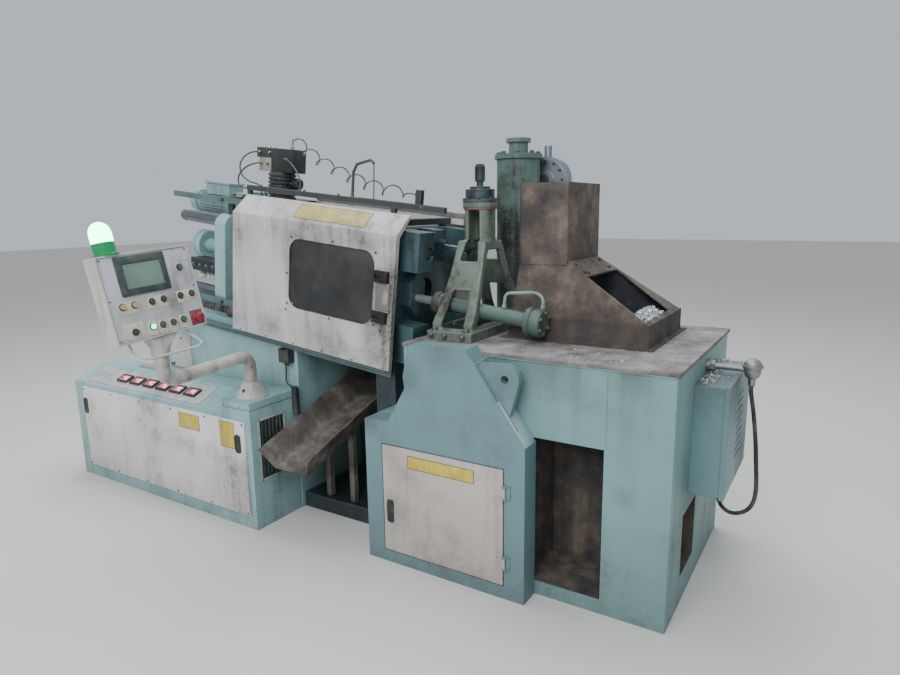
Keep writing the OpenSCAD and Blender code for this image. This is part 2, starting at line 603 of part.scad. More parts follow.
module hood() color("#5a4e46") {
    difference() {
        hood_solid(0, top_z, hood_top + 10);
        hood_solid(hood_sheet, top_z - 10, hood_top + 20);
        block([hood_x0 + hood_sheet, hood_front + hood_sheet, hood_top - 40],
            [hood_x1 - hood_sheet, hood_back - hood_sheet, hood_top + 40]);
        translate([hood_x1, 0, slope_top]) rotate([0, slope_angle, 0]) block([105, hood_front + 18, -20],
            [400, 320, 20]);
    }
    // The foot flange round the hood, and the bolted cover plate at the top of its slope
    difference() {
        translate([0, 0, top_z]) linear_extrude(6) polygon([[766, hood_front - 22], [trough_x + 22,
            hood_front - 22],
            [trough_x + 22, 490], [hood_x1, hood_back + 22], [766, hood_back + 22]]);
        translate([0, 0, top_z - 1]) linear_extrude(8) polygon([[789, hood_front + 1], [trough_x - 1,
            hood_front + 1],
            [trough_x - 1, 459], [hood_x1, hood_back - 1], [789, hood_back - 1]]);
    }
    translate([hood_x1, 0, slope_top]) rotate([0, slope_angle, 0]) block([4, hood_front + 4, -1], [105,
        hood_back - 20, 5]);
}

eye_p = [979, 909];
eye_d = 120;
eye_t = 30;
pin_d = 8;
knuckle_d = 14;
hinge_p = [tool_x1 + 7, ped_y - 8];
hinge_z = [130, 430];
// The pin, its two lugs and the leaf of one hinge
module hinge_lugs(z) translate([hinge_p[0], hinge_p[1], z]) {
    cylinder(h = 60, d = pin_d);
    for (h = [0, 50]) translate([0, 0, h]) {
        cylinder(h = 10, d = knuckle_d);
        block([0, -4, 0], [13, 8, 10]);
    }
    block([9, 4, 0], [26, 8, 60]);
}
module pedestal() color("#7da0a0") difference() {
    union() {
        translate([0, -furnace_front, 0]) rotate([90, 0, 0]) linear_extrude(ped_t) polygon([[300, 0],
            [300, 655], [426, 657],
            [520, 818], [513, 872], [545, 1006], [817, 1014], [1077, 654], [1077, 0]]);
        translate([0, -furnace_front - 50, 0]) rotate([90, 0, 0]) linear_extrude(eye_t) hull() {
            translate(eye_p) circle(d = eye_d);
            polygon([[850, 960], [1000, 760], [860, 760]]);
        }
        for (z = hinge_z) hinge_lugs(z);
    }
    tool_cavity(ped_y - 1, -furnace_front + 1);
    translate([eye_p[0], 0, eye_p[1]]) rotate([90, 0, 0]) cylinder(h = 1000, d = 32);
}
module tool_door() color("#c9c2bb") difference() {
    union() {
        block([tool_x1 - tool_w, ped_y - 2, tool_z0], [tool_x1, ped_y + 18, tool_z0 + tool_h]);
        for (z = hinge_z) translate([hinge_p[0], hinge_p[1], z + 10 + 2 * run_gap]) {
            cylinder(h = 40 - 4 * run_gap, d = knuckle_d);
            block([-32, 2, 0], [-4, 6, 40 - 4 * run_gap]);
        }
    }
    for (z = hinge_z) translate([hinge_p[0], hinge_p[1], z]) cylinder(h = 60, d = pin_d + 2 * run_gap);
    block([tool_x1 - tool_w + 18, ped_y - 3, 195], [tool_x1 - tool_w + 52, ped_y + 10, 300]);
}

yoke_x = 608;
foot_h = 42;
neck_z = 1410;
yoke_wall = 22;
// The cast column's outline from the front and from the side, g inside its skin
module yoke_front(g) polygon([[-104 + g, top_z], [-100 + g, 1090], [-82 + g, 1240], [-70 + g,
    neck_z + 1], [70 - g, neck_z + 1],
    [82 - g, 1240], [100 - g, 1090], [104 - g, top_z]]);
module yoke_side(g) polygon([[-262 + g, top_z], [-258 + g, 1060], [-214 + g, 1120], [-172 + g, 1200],
    [-122 + g, 1300],
    [-80 + g, neck_z + 1], [80 - g, neck_z + 1], [122 - g, 1300], [172 - g, 1200], [214 - g, 1120],
        [258 - g, 1060],
    [262 - g, top_z]]);
module yoke_form(g) intersection() {
    translate([yoke_x, 300, 0]) rotate([90, 0, 0]) linear_extrude(600) yoke_front(g);
    translate([yoke_x - 150, 0, 0]) rotate([90, 0, 90]) linear_extrude(300) yoke_side(g);
}
yoke_d = 140;
module yoke() color("#a9b8a4") {
    difference() {
        union() {
            block([yoke_x - 112, -288, top_z], [yoke_x + 112, 288, top_z + foot_h]);
            yoke_form(0);
        }
        intersection() {
            yoke_form(yoke_wall);
            block([yoke_x - 200, -300, top_z - 1], [yoke_x + 200, 300, neck_z + 2]);
        }
        translate([yoke_x, 400, 0]) rotate([90, 0, 0]) linear_extrude(800) {
            polygon([[-58, top_z + foot_h + 8], [58, top_z + foot_h + 8], [42, 1200], [-42, 1200]]);
            polygon([[-46, 1322], [46, 1322], [28, neck_z + 2], [-28, neck_z + 2]]);
        }
        translate([yoke_x - 200, 0, 0]) rotate([90, 0, 90]) linear_extrude(400)
            polygon([[-214, top_z + foot_h + 12], [214, top_z + foot_h + 12], [136, 1195], [54, 1370],
                [-54, 1370], [-136, 1195]]);
        on_axis() translate([0, cyl_v, cyl_w]) along_x(400, 900, 72);
        for (x = [-1, 1], y = [-1, -0.4, 0.4, 1]) translate([yoke_x + x * 80, y * 272, top_z - 1])
            cylinder(h = foot_h + 2, d = 12);
    }
    translate([yoke_x, 0, neck_z]) difference() {
        union() {
            cylinder(h = 170, d = yoke_d);
            translate([0, 0, 146]) cylinder(h = 24, d = yoke_d + 18);
        }
        translate([0, 0, -1]) cylinder(h = 172, d = yoke_d - 48);
        block([-28, -100, -1], [28, 100, 136]);
    }
}
module shot_cylinder() color("#8fa39c") translate([yoke_x, 0, neck_z + 170]) {
    cylinder(h = 12, d = yoke_d + 18);
    translate([0, 0, 12]) cylinder(h = 46, d = 132);
    translate([0, 0, 58]) cylinder(h = 12, d = 92);
    translate([0, 0, 70]) cylinder(h = 20, d = 30);
    translate([0, 0, 90]) rotate_extrude() polygon([[0, 0], [18, 0], [23, 8], [23, 66], [17, 78], [0, 80]]);
}
module carriage_cylinder() on_axis() translate([0, cyl_v, cyl_w]) {
    color("#e0e2e4") along_x(fixed_face + 30, 453, 25);
    color("#a9a28c") translate([453, 0, 0]) rotate([0, 90, 0]) rotate_extrude()
        polygon([[0, 0], [34, 0], [50, 14], [50, 40], [42, 44], [42, 57], [0, 57]]);
    color("#86a398") along_x(510, 925, cyl_d);
    color("#86a398") translate([925, 0, 0]) rotate([0, 90, 0]) rotate_extrude()
        polygon([for (p = [[0, 0], [25, 0], [29, 4], [29, 24], [23, 28], [23, 34], [29, 38], [29, 71],
            [25, 75], [0, 75]])
            p[0] == 0 ? p : [p[0] + cyl_d / 2, p[1]]]);
    color("#86a398") for (a = [30 : 60 : 330]) rotate([a, 0, 0]) translate([0, 46, 0]) along_x(1000,
        1010, 16);
}
// The steel pipe over the carriage cylinder, bent down into its end
module hydraulic_pipes() color("#b7bcb8") on_axis()
    sweep([[810, cyl_v, cyl_w + cyl_d / 2 + run_gap], [810, cyl_v, cyl_w + 80], [822, cyl_v, cyl_w + 94],
        [840, cyl_v, cyl_w + 100], [935, cyl_v, cyl_w + 122], [966, cyl_v, cyl_w + 114], [987, cyl_v,
            cyl_w + 94],
        [987, cyl_v, cyl_w + cyl_d / 2 + 29 + run_gap]], 14);
acc_p = [605, 397];
acc_d = 214;
module accumulator() color("#5d7f7a") translate([acc_p[0], acc_p[1], top_z]) {
    difference() {
        cylinder(h = 20, d = acc_d + 24);
        block([-200, -200, -1], [200, -acc_d / 2, 21]);
    }
    cylinder(h = 805, d = acc_d);
    translate([0, 0, 800]) cylinder(h = 24, d = acc_d + 22);
    for (a = [22.5 : 45 : 337.5]) rotate([0, 0, a]) translate([acc_d / 2 - 10, 0, 822]) cylinder(h = 12,
        d = 20, $fn = 6);
    translate([0, 0, 824]) cylinder(h = 64, d = 95);
    translate([0, 0, 880]) cylinder(h = 20, d = 122);
}
fan_p = [700, 545];
fan_z = 1690;
// The small fume fan: round housing, its mouth, and the post that carries it
module blower() color("#a8adb0") translate([fan_p[0], fan_p[1], fan_z]) {
    rotate([90, 0, 0]) {
        cylinder(h = 60, d = 236, center = true);
        cylinder(h = 72, d = 210, center = true);
        cylinder(h = 96, d = 90, center = true);
    }
    translate([0, 0, 110]) cylinder(h = 60, d = 38);
    translate([0, 0, top_z - fan_z]) {
        cylinder(h = 10, d = 110);
        cylinder(h = fan_z - top_z - 100, d = 60);
    }
}

ebox = [130, 500, 435];
ebox_y = -120;
ebox_z = 450;
cover_t = 18;
gland_x = furnace_right + 70;
module electrical_box() color("#7b9e99") {
    block([furnace_right, ebox_y, ebox_z], [furnace_right + ebox[0] - cover_t, ebox_y + ebox[1],
        ebox_z + ebox[2]]);
    for (y = [tc_y, tc_y + 60]) translate([gland_x, y, ebox_z - 26]) {
        translate([0, 0, 14]) cylinder(h = 12, d = 30);
        cylinder(h = 14, d = 24);
    }
}
module box_cover() color("#7b9e99") difference() {
    block([furnace_right + ebox[0] - cover_t, ebox_y - 6, ebox_z - 6],
        [furnace_right + ebox[0], ebox_y + ebox[1] + 6, ebox_z + ebox[2] + 6]);
    for (z = [ebox_z + 60, ebox_z + ebox[2] - 60]) translate([furnace_right + ebox[0] - 5, ebox_y + 14, z])
        rotate([0, 90, 0]) cylinder(h = 6, d = 22);
}
tc_y = 115;
tc_z = 915;
tc_x = furnace_right + 170;
// The protecting tube, its hexagon, and the domed head with its cap and its cable outlet
module thermocouple() color("#c7cacb") {
    translate([0, tc_y, tc_z]) {
        along_x(furnace_right, tc_x - 24, 26);
        translate([furnace_right, 0, 0]) rotate([0, 90, 0]) cylinder(h = 14, d = 52);
        translate([furnace_right + 14, 0, 0]) rotate([0, 90, 0]) cylinder(h = 18, d = 44, $fn = 6);
    }
    translate([tc_x, tc_y, tc_z]) rotate_extrude() polygon(concat([[0, -36], [18, -36], [28, -24], [32,
        -10], [32, 6], [39, 8],
        [39, 18]], [for (a = [0 : 15 : 90]) [34 * cos(a), 18 + 26 * sin(a)]]));
    translate([tc_x, tc_y, tc_z - 62]) cylinder(h = 28, d = 28);
}
conduit_d = 18;
// The conduit's route at the thermocouple's Y, as [X, Z]: it hangs in a bow to the gland under the electrical box
conduit_path = [[1770, 853], [1770, 828], [1776, 790], [1785, 740], [1795, 670], [1803, 600], [1809,
    530], [1814, 470],
    [1816, 420], [1812, 375], [1800, 340], [1778, 315], [1750, 301], [1722, 300], [1697, 314], [1680,
        340], [1672, 375],
    [1670, 400], [1670, 424]];
module thermocouple_conduit() color("#1b1c1e") sweep([for (p = conduit_path) [p[0], tc_y, p[1]]],
    conduit_d, 10);
// The limit switch on the bed's front, its lead, and the boot that takes the lead down into the cabinet
module limit_switch() color("#202428") {
    block([-414, -bed_w / 2 - 40, 788], [-342, -bed_w / 2, 860]);
    translate([-378, -bed_w / 2 - 20, 772]) cylinder(h = 16, d = 22);
    sweep([[-378, -bed_w / 2 - 24, 774], [-384, -bed_w / 2 - 26, 692], [-370, -bed_w / 2 - 28, 672],
        [cab_right + 18, -bed_w / 2 - 42, 668]], 8);
    translate([cab_right + 19, -bed_w / 2 - 44, 530]) cylinder(h = 142, d = 36);
}

machine_bed();
bed_cover();
base_frame();
chute();
control_cabinet();
cabinet_panel();
meter_desk();
pendant_base();
pendant_arm();
pendant_box();
pendant_screen();
pendant_controls();
beacon();
rear_platen();
moving_platen();
fixed_platen();
tie_bars();
clamp_cylinder();
fixed_die();
moving_die();
oil_manifold();
gear_motor();
door_rails();
cable_chain();
guard_frame();
rear_guard();
valve_block();
air_hose();
union() {
    safety_door();
    door_hangers();
}
door_window();
door_latches();
furnace_body();
furnace_top();
crucible();
hood();
pedestal();
tool_door();
yoke();
shot_cylinder();
carriage_cylinder();
hydraulic_pipes();
accumulator();
blower();
electrical_box();
box_cover();
thermocouple();
thermocouple_conduit();
limit_switch();
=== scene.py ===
import math
import bmesh
import bpy
import numpy as np
from mathutils import Matrix, Vector


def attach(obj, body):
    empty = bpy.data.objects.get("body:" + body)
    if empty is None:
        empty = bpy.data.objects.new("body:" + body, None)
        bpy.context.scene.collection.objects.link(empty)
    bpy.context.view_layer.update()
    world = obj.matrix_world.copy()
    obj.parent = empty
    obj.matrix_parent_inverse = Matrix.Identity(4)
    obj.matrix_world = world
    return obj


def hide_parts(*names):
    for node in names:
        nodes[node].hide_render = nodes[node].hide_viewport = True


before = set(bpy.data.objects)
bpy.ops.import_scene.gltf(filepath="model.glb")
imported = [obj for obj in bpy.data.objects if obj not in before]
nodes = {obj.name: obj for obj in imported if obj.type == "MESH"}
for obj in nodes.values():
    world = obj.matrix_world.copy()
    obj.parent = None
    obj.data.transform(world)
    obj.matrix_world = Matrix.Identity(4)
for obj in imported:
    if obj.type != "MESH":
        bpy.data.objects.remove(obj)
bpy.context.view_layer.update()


# The photographer's view: a 26 mm lens at eye height, looking along the machine's front from the furnace's side,
# 11 degrees down and turned slightly.
def new_object(name, data):
    """An object with its mesh, curve, lamp or camera, linked to the scene."""
    thing = bpy.data.objects.new(name, data)
    bpy.context.scene.collection.objects.link(thing)
    return thing


EYE = (2.084, -2.643, 1.55)
YAW, PITCH, ROLL = (math.radians(a) for a in (31.921, 11.051, -0.789))
ahead = Vector((-math.sin(YAW) * math.cos(PITCH), math.cos(YAW) * math.cos(PITCH), -math.sin(PITCH)))
side = Vector((math.cos(YAW), math.sin(YAW), 0))
above = side.cross(ahead)
rows = (side * math.cos(ROLL) + above * math.sin(ROLL), above * math.cos(ROLL) - side * math.sin(ROLL), -ahead)
camera = new_object("view", bpy.data.cameras.new("view"))
camera.data.sensor_width = 36
camera.data.lens = 26.19
camera.matrix_world = Matrix.Translation(EYE) @ Matrix(rows).transposed().to_4x4()
bpy.context.scene.camera = camera


# The studio: a pale floor, a bright even surround, and two large soft lamps.
def linear(colour):
    """A hex sRGB colour as linear RGBA: each part c is c/12.92 below 0.04045, else ((c + 0.055) / 1.055) ** 2.4."""
    parts = np.array([int(colour[i:i + 2], 16) / 255 for i in (1, 3, 5)])
    return (*np.where(parts <= 0.04045, parts / 12.92, ((parts + 0.055) / 1.055) ** 2.4).tolist(), 1.0)


def fill(tree, node, inputs):
    """Fills a node's sockets, named or in their order: with another node's output, a hex colour or a number."""
    for socket, value in inputs.items() if isinstance(inputs, dict) else enumerate(inputs):
        if isinstance(value, bpy.types.NodeSocket):
            tree.links.new(value, node.inputs[socket])
        else:
            node.inputs[socket].default_value = linear(value) if isinstance(value, str) else value


def add(tree, kind, inputs=(), out=0, **settings):
    """Adds one shader node with its settings, fills its sockets, and gives back one of its outputs."""
    node = tree.nodes.new("ShaderNode" + kind)
    for name, value in settings.items():
        setattr(node, name, value)
    fill(tree, node, inputs)
    return node.outputs[out]


def finish(material, inputs):
    """Fills the sockets of a material's Principled shader, and gives the material back."""
    fill(material.node_tree, material.node_tree.nodes["Principled BSDF"], inputs)
    return material


def new_material(name, inputs=()):
    """A material with a Principled shader joined to its output, whose sockets have the given values."""
    material = bpy.data.materials.new(name)
    material.use_nodes = True
    return finish(material, inputs)


def fit(piece, node=None, body="machine"):
    """Says where a piece belongs: the body that it rides on, and the CAD node that it stands for."""
    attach(piece, body)
    if node:
        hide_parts(node)


def new_piece(name, shape, material, slot=None, node=None, body="machine", origin=(0, 0, 0), across=(1, 0, 0),
              up=(0, 1, 0), sharp=38):
    """A mesh object from points and faces in local millimetres: X runs along across, Y along up and Z along their
    cross product, from the origin. Edges that turn by more than the sharp angle stay crisp. A piece that is given a
    slot name is fitted; the name itself is not kept."""
    points, faces = shape
    across, up = (np.array(d, float) / np.linalg.norm(d) for d in (across, up))
    world = np.asarray(points, float) @ np.array([across, up, np.cross(across, up)]) + np.array(origin, float)
    mesh = bpy.data.meshes.new(name)
    mesh.from_pydata((world / 1000).tolist(), [], faces)
    mesh.polygons.foreach_set("use_smooth", np.ones(len(mesh.polygons), bool))
    mesh.set_sharp_from_angle(angle=math.radians(sharp))
    mesh.materials.append(material)
    mesh.update()
    piece = new_object(name, mesh)
    if slot:
        fit(piece, node, body)
    return piece


floor_paint = new_material("pale_floor_paint", {"Base Color": "#d3d1cc", "Roughness": 0.75})
HALF_FLOOR = 30000
floor = new_piece("floor", ([(HALF_FLOOR * i, HALF_FLOOR * j, 0) for i, j in ((-1, -1), (1, -1), (1, 1), (-1, 1))],
                            [(0, 1, 2, 3)]), floor_paint)

surround = bpy.data.worlds.new("studio")
surround.use_nodes = True
fill(surround.node_tree, surround.node_tree.nodes["Background"], {"Color": "#dce2ea", "Strength": 0.8})
bpy.context.scene.world = surround
for name, place, target, size, power in (("key", (1.5, -5.5, 5.0), (0, -0.2, 0.8), 4.0, 360),
                                         ("top", (-0.8, 1.5, 5.5), (0, 0, 1.0), 5.0, 270)):
    lamp = new_object(name, bpy.data.lights.new(name, "AREA"))
    lamp.data.energy, lamp.data.size, lamp.data.color = power, size, (0.95, 0.98, 1.0)
    lamp.matrix_world = (Matrix.Translation(place)
                         @ (Vector(place) - Vector(target)).to_track_quat("Z", "Y").to_matrix().to_4x4())


# The coiled air hose: 7 mm polyurethane tube wound as a spring, pushed on the air valve's stub and on the fitting at
# the beam's end. It sags a little between them.
def through(points, step):
    """Points a step apart on the Catmull-Rom curve through the given ones: in each span the four nearest points are
    blended by cubic weights of the parameter t from 0 to 1, and the lengths are evened out afterwards."""
    p = np.asarray(points, float)
    p = np.vstack([2 * p[0] - p[1], p, 2 * p[-1] - p[-2]])
    t = np.linspace(0, 1, 24, endpoint=False)[:, None]
    a, b, c, d = p[:-3, None], p[1:-2, None], p[2:-1, None], p[3:, None]
    fine = 0.5 * (2 * b + (c - a) * t + (2 * a - 5 * b + 4 * c - d) * t ** 2 + (3 * b - a - 3 * c + d) * t ** 3)
    fine = np.vstack([fine.reshape(-1, p.shape[1]), p[-2]])
    length = np.append(0, np.cumsum(np.linalg.norm(np.diff(fine, axis=0), axis=1)))
    even = np.linspace(0, length[-1], max(2, round(length[-1] / step) + 1))
    return np.stack([np.interp(even, length, column) for column in fine.T], 1)


def ring_frames(path, square_to):
    """Two unit directions square to the path at each point: the first is square_to less its part along the path, the
    second is the path's direction crossed with the first."""
    along = np.gradient(path, axis=0)
    along /= np.linalg.norm(along, axis=1, keepdims=True)
    first = square_to - (along @ square_to)[:, None] * along
    first /= np.linalg.norm(first, axis=1, keepdims=True)
    return first, np.cross(along, first)


def curve_of(name, points, radius, material):
    """A round tube as a curve of one open spline through world points in metres."""
    curve = bpy.data.curves.new(name, "CURVE")
    curve.dimensions = "3D"
    curve.bevel_depth = radius
    curve.bevel_resolution = 3
    curve.use_fill_caps = True
    spline = curve.splines.new("POLY")
    spline.points.add(len(points) - 1)
    spline.points.foreach_set("co", np.column_stack([points, np.ones(len(points))]).ravel())
    spline.use_smooth = True
    curve.materials.append(material)
    return new_object(name, curve)


# The machine's axis is 1.2 m over the floor at the die's middle and falls 6.4 degrees towards the furnace.
SLOPE = math.radians(6.4)
AXIS = {"origin": (0, 0, 1200), "across": (math.cos(SLOPE), 0, -math.sin(SLOPE)), "up": (0, 1, 0)}


def on_axis(points):
    """World metres from millimetres along the machine's sloping axis, across it, and square above it."""
    turn = np.array([AXIS["across"], AXIS["up"], np.cross(AXIS["across"], AXIS["up"])])
    return (np.asarray(points, float) @ turn + AXIS["origin"]) / 1000


def moulded(name, colour, rough, dust="#8a8680", dusty=0.15, relief=0.15, cloud_mm=45):
    """Moulded plastic or rubber: fine noise is its grain, wide noise is dust lying on it, which is rougher."""
    material = new_material(name)
    tree = material.node_tree
    grain_mm = 1.2
    place = add(tree, "TexCoord", out="Object")
    grain = add(tree, "TexNoise", {"Vector": place, "Scale": 1000 / grain_mm, "Detail": 2})
    cloud = add(tree, "TexNoise", {"Vector": place, "Scale": 1000 / cloud_mm, "Detail": 7, "Roughness": 0.65})
    film = add(tree, "MapRange", (cloud, 0.42, 0.75, 0.0, dusty * 2))
    return finish(material, {
        "Base Color": add(tree, "Mix", {"Factor": film, "A": colour, "B": dust}, "Result", data_type="RGBA"),
        "Roughness": add(tree, "MapRange", (film, 0.0, 0.5, rough, min(rough + 0.4, 0.95))),
        "Normal": add(tree, "Bump", {"Height": grain, "Strength": relief, "Distance": 0.0002})})


HOSE_ROUTE = [(-580, -30, 636), (-580, -30, 650), (-574, -34, 662), (-558, -38, 666), (-530, -46, 657),
              (-489, -60, 634), (-406, -80, 598), (-323, -96, 567), (-242, -112, 543), (-164, -127, 522),
              (-87, -142, 504), (-21, -154, 490), (46, -167, 478), (114, -178, 470), (180, -188, 464),
              (251, -198, 461), (310, -208, 460), (335, -211, 460), (360, -211, 460)]
# The tube's width, the coil's turns and its radius, which it reaches over the first and last tenth of the route.
TUBE, TURNS, WIND, EASE = 7, 8, 27, 0.1
line = through(HOSE_ROUTE, 5)
share = np.linspace(0, 1, len(line))
first, second = ring_frames(line, np.array([0.0, 1.0, 0.0]))
swell = (WIND * np.clip(np.minimum(share, 1 - share) / EASE, 0, 1) ** 2)[:, None]
turn = (0.6 - 2 * math.pi * TURNS * share)[:, None]
coil = on_axis(line + swell * (np.cos(turn) * first + np.sin(turn) * second))
# Polyurethane tube: clear dark blue, glossy.
blue_tube = finish(moulded("blue_polyurethane", "#2b4c63", 0.22, dusty=0.1), {"Coat Weight": 0.4})
air_hose = curve_of("coiled_air_hose", coil, TUBE / 2000, blue_tube)
fit(air_hose, "air_hose")


# The valve's three short pressure hoses: 8 mm black rubber, each pushed in at both ends, that loop from its fittings
# down to the crossbar and the beam.
rubber = moulded("black_hose_rubber", "#26282a", 0.45, dusty=0.2)
HOSE = 0.008
LOOPS = {"pilot_hose": [(-810, -56, 586), (-810, -72, 586), (-824, -98, 578), (-862, -112, 550), (-884, -116, 505),
                        (-862, -118, 455), (-805, -118, 428), (-745, -117, 418), (-702, -116, 400),
                        (-682, -115, 374), (-680, -115, 352)],
         "port_hose": [(-792, -58, 528), (-792, -74, 528), (-808, -98, 520), (-848, -112, 497), (-882, -124, 455),
                       (-870, -134, 408), (-820, -140, 392), (-762, -143, 400), (-712, -145, 402), (-684, -145, 380),
                       (-680, -145, 352)],
         "beam_hose": [(-600, -56, 560), (-600, -74, 560), (-578, -92, 560), (-530, -112, 553), (-475, -138, 536),
                       (-420, -166, 512), (-370, -194, 484), (-338, -216, 456), (-330, -225, 436), (-330, -225, 420)]}
for name, route in LOOPS.items():
    hose_line = on_axis(through(route, 8))
    hose = curve_of(name, hose_line, HOSE / 2, rubber)
    fit(hose)


# The thermocouple's conduit: black corrugated plastic hose from the head down to the gland under the electrical box.
def loft(rings):
    """Points and faces of a skin through rings of equally many points: each point joins the next one round its ring
    and the same one of the next ring, and each end is one face."""
    rings = np.asarray(rings, float)
    count, around = rings.shape[:2]
    grid = np.arange(count * around).reshape(count, around)
    turned = np.roll(grid, -1, 1)
    quads = np.stack([grid[:-1], turned[:-1], turned[1:], grid[1:]], -1).reshape(-1, 4)
    return rings.reshape(-1, 3), quads.tolist() + [grid[0, ::-1].tolist(), grid[-1].tolist()]


def tube(path, radius, sides, square_to=(0, 1, 0)):
    """A round tube along a path: each ring is the path's point plus the radius times the cosine and sine of the angle
    along the two directions square to the path. The radius may change along the path."""
    path = np.asarray(path, float)
    first, second = (d[:, None] for d in ring_frames(path, np.array(square_to, float)))
    angle = (np.arange(sides) * 2 * math.pi / sides)[None, :, None]
    radius = np.broadcast_to(radius, len(path))[:, None, None]
    return loft(path[:, None] + radius * (np.cos(angle) * first + np.sin(angle) * second))


CONDUIT_ROUTE = [(1770, 853), (1770, 828), (1776, 790), (1785, 740), (1795, 670), (1803, 600), (1809, 530),
                 (1814, 470), (1816, 420), (1812, 375), (1800, 340), (1778, 315), (1750, 301), (1722, 300),
                 (1697, 314), (1680, 340), (1672, 375), (1670, 400), (1670, 424)]
# Four rings make one rib: two at its radius and two in the groove beside it.
RIB_PITCH, MEAN_RADIUS, HALF_RIB, CONDUIT_Y = 5.6, 8.2, 0.8, 115.0
flat = through(CONDUIT_ROUTE, RIB_PITCH / 4)
conduit_line = np.stack([flat[:, 0], np.full(len(flat), CONDUIT_Y), flat[:, 1]], 1)
ribs = MEAN_RADIUS + HALF_RIB * np.sign(np.cos(np.arange(len(flat)) * math.pi / 2 + 0.3))
black_nylon = moulded("black_corrugated_nylon", "#1b1c1e", 0.55, dusty=0.25)
conduit = new_piece("corrugated_conduit", tube(conduit_line, ribs, 14), black_nylon, "black_rubber",
                    node="thermocouple_conduit", sharp=60)


# The bed: a welded box of plate, sprayed with light teal enamel. The sprayed enamel of all the plates and castings is
# satin, blotched by oil and dust, darker near the floor, and rubbed through to grey steel along its edges.
def worn_enamel(name, colour, dirt="#4d4c45", bare="#6d6a66", blotch_mm=260, dirty=0.35, chipped=0.3, low_grime=0.4,
                rough=0.42, soiled_at=()):
    """Sprayed enamel: two sizes of noise blotch it, noise drawn out along Z streaks it, height above the floor and
    the distance to each soiled place dirty it, and the gap between the face's normal and a rounded edge's normal rubs
    it bare. soiled_at holds X, Y, Z and radius in millimetres and a strength."""
    material = new_material(name)
    tree = material.node_tree
    speck_mm, chip_mm, peel_mm, grime_top, rubbed_width = 14, 42, 6, 0.45, 0.007
    place = add(tree, "TexCoord", out="Object")
    blotch = add(tree, "TexNoise", {"Vector": place, "Scale": 1000 / blotch_mm, "Detail": 6, "Roughness": 0.62})
    tall = add(tree, "Mapping", {"Vector": place, "Scale": (14, 14, 1.1)})
    streak = add(tree, "TexNoise", {"Vector": tall, "Scale": 1, "Detail": 4, "Roughness": 0.6})
    speck = add(tree, "TexNoise", {"Vector": place, "Scale": 1000 / speck_mm, "Detail": 5, "Roughness": 0.7})
    low = add(tree, "MapRange", (add(tree, "SeparateXYZ", (place,), "Z"), 0.0, grime_top, low_grime, 0.0))
    soiled = add(tree, "MapRange", (blotch, 0.5, 0.78, 0.0, dirty * 1.5))
    streaked = add(tree, "MapRange", (streak, 0.5, 0.75, 0.0, dirty))
    grime = add(tree, "Math", (add(tree, "Math", (soiled, streaked), operation="ADD"), low), operation="ADD")
    for x, y, z, radius, strength in soiled_at:
        far = add(tree, "VectorMath", (place, (x / 1000, y / 1000, z / 1000)), "Value", operation="DISTANCE")
        near = add(tree, "MapRange", (far, 0.0, radius / 1000, strength * 1.5, 0.0))
        grime = add(tree, "Math", (grime, near), operation="ADD")
    grain = add(tree, "MapRange", (speck, 0.28, 0.72, 0.32, 0.68))
    mottled = add(tree, "Math", (grime, grain), operation="MULTIPLY")
    grimy = add(tree, "Math", (mottled, 1.7), operation="MULTIPLY", use_clamp=True)
    shade = add(tree, "HueSaturation", {"Color": colour, "Hue": 0.5, "Saturation": 0.92, "Value": 0.86})
    tone = add(tree, "Mix", {"Factor": blotch, "A": colour, "B": shade}, "Result", data_type="RGBA")
    edge = add(tree, "Bevel", {"Radius": rubbed_width}, samples=4)
    flat = add(tree, "NewGeometry", out="Normal")
    turned = add(tree, "VectorMath", (edge, flat), "Value", operation="DOT_PRODUCT")
    rub = add(tree, "MapRange", (turned, 0.995, 0.9, 0.0, 1.0))
    rubbed = add(tree, "Math", (rub, speck), operation="MULTIPLY")
    rubbed = add(tree, "MapRange", (rubbed, 0.55 - 0.35 * chipped, 0.62 - 0.3 * chipped, 0.0, 1.0))
    chip = add(tree, "TexNoise", {"Vector": place, "Scale": 1000 / chip_mm, "Detail": 8, "Roughness": 0.55})
    flaked = add(tree, "MapRange", (chip, 0.74 - 0.05 * chipped, 0.76 - 0.05 * chipped, 0.0, 1.0))
    worn = add(tree, "Math", (rubbed, flaked), operation="MAXIMUM")
    dirty_tone = add(tree, "Mix", {"Factor": grimy, "A": tone, "B": dirt}, "Result", data_type="RGBA")
    peel = add(tree, "TexNoise", {"Vector": place, "Scale": 1000 / peel_mm, "Detail": 2})
    step = add(tree, "Math", (peel, worn), operation="SUBTRACT")
    soft = add(tree, "Bevel", {"Radius": 0.0022}, samples=4)
    return finish(material, {
        "Base Color": add(tree, "Mix", {"Factor": worn, "A": dirty_tone, "B": bare}, "Result", data_type="RGBA"),
        "Roughness": add(tree, "MapRange", (mottled, 0.0, 0.6, rough, min(rough + 0.35, 0.95))),
        "Normal": add(tree, "Bump", {"Height": step, "Strength": 0.22, "Distance": 0.0006, "Normal": soft})})


def dress(material, *names):
    """Gives CAD nodes their finish: the material takes the first slot of each node's object."""
    for name in names:
        nodes[name].data.materials.clear()
        nodes[name].data.materials.append(material)


def bead(start, end, radius=4.5, ripple=7):
    """A weld bead: an eight-sided rod along a line, whose radius swells by a fifth with the sine of the ripple."""
    start, end = np.array(start, float), np.array(end, float)
    size = np.linalg.norm(end - start)
    run = np.linspace(0, 1, max(6, int(size / ripple * 3)))[:, None]
    swell = radius * (1 + 0.2 * np.sin(run[:, 0] * size / ripple * 2 * math.pi))
    return tube(start + (end - start) * run, swell, 8, (0, 1, 0) if abs((end - start)[1]) < 0.7 * size else (0, 0, 1))


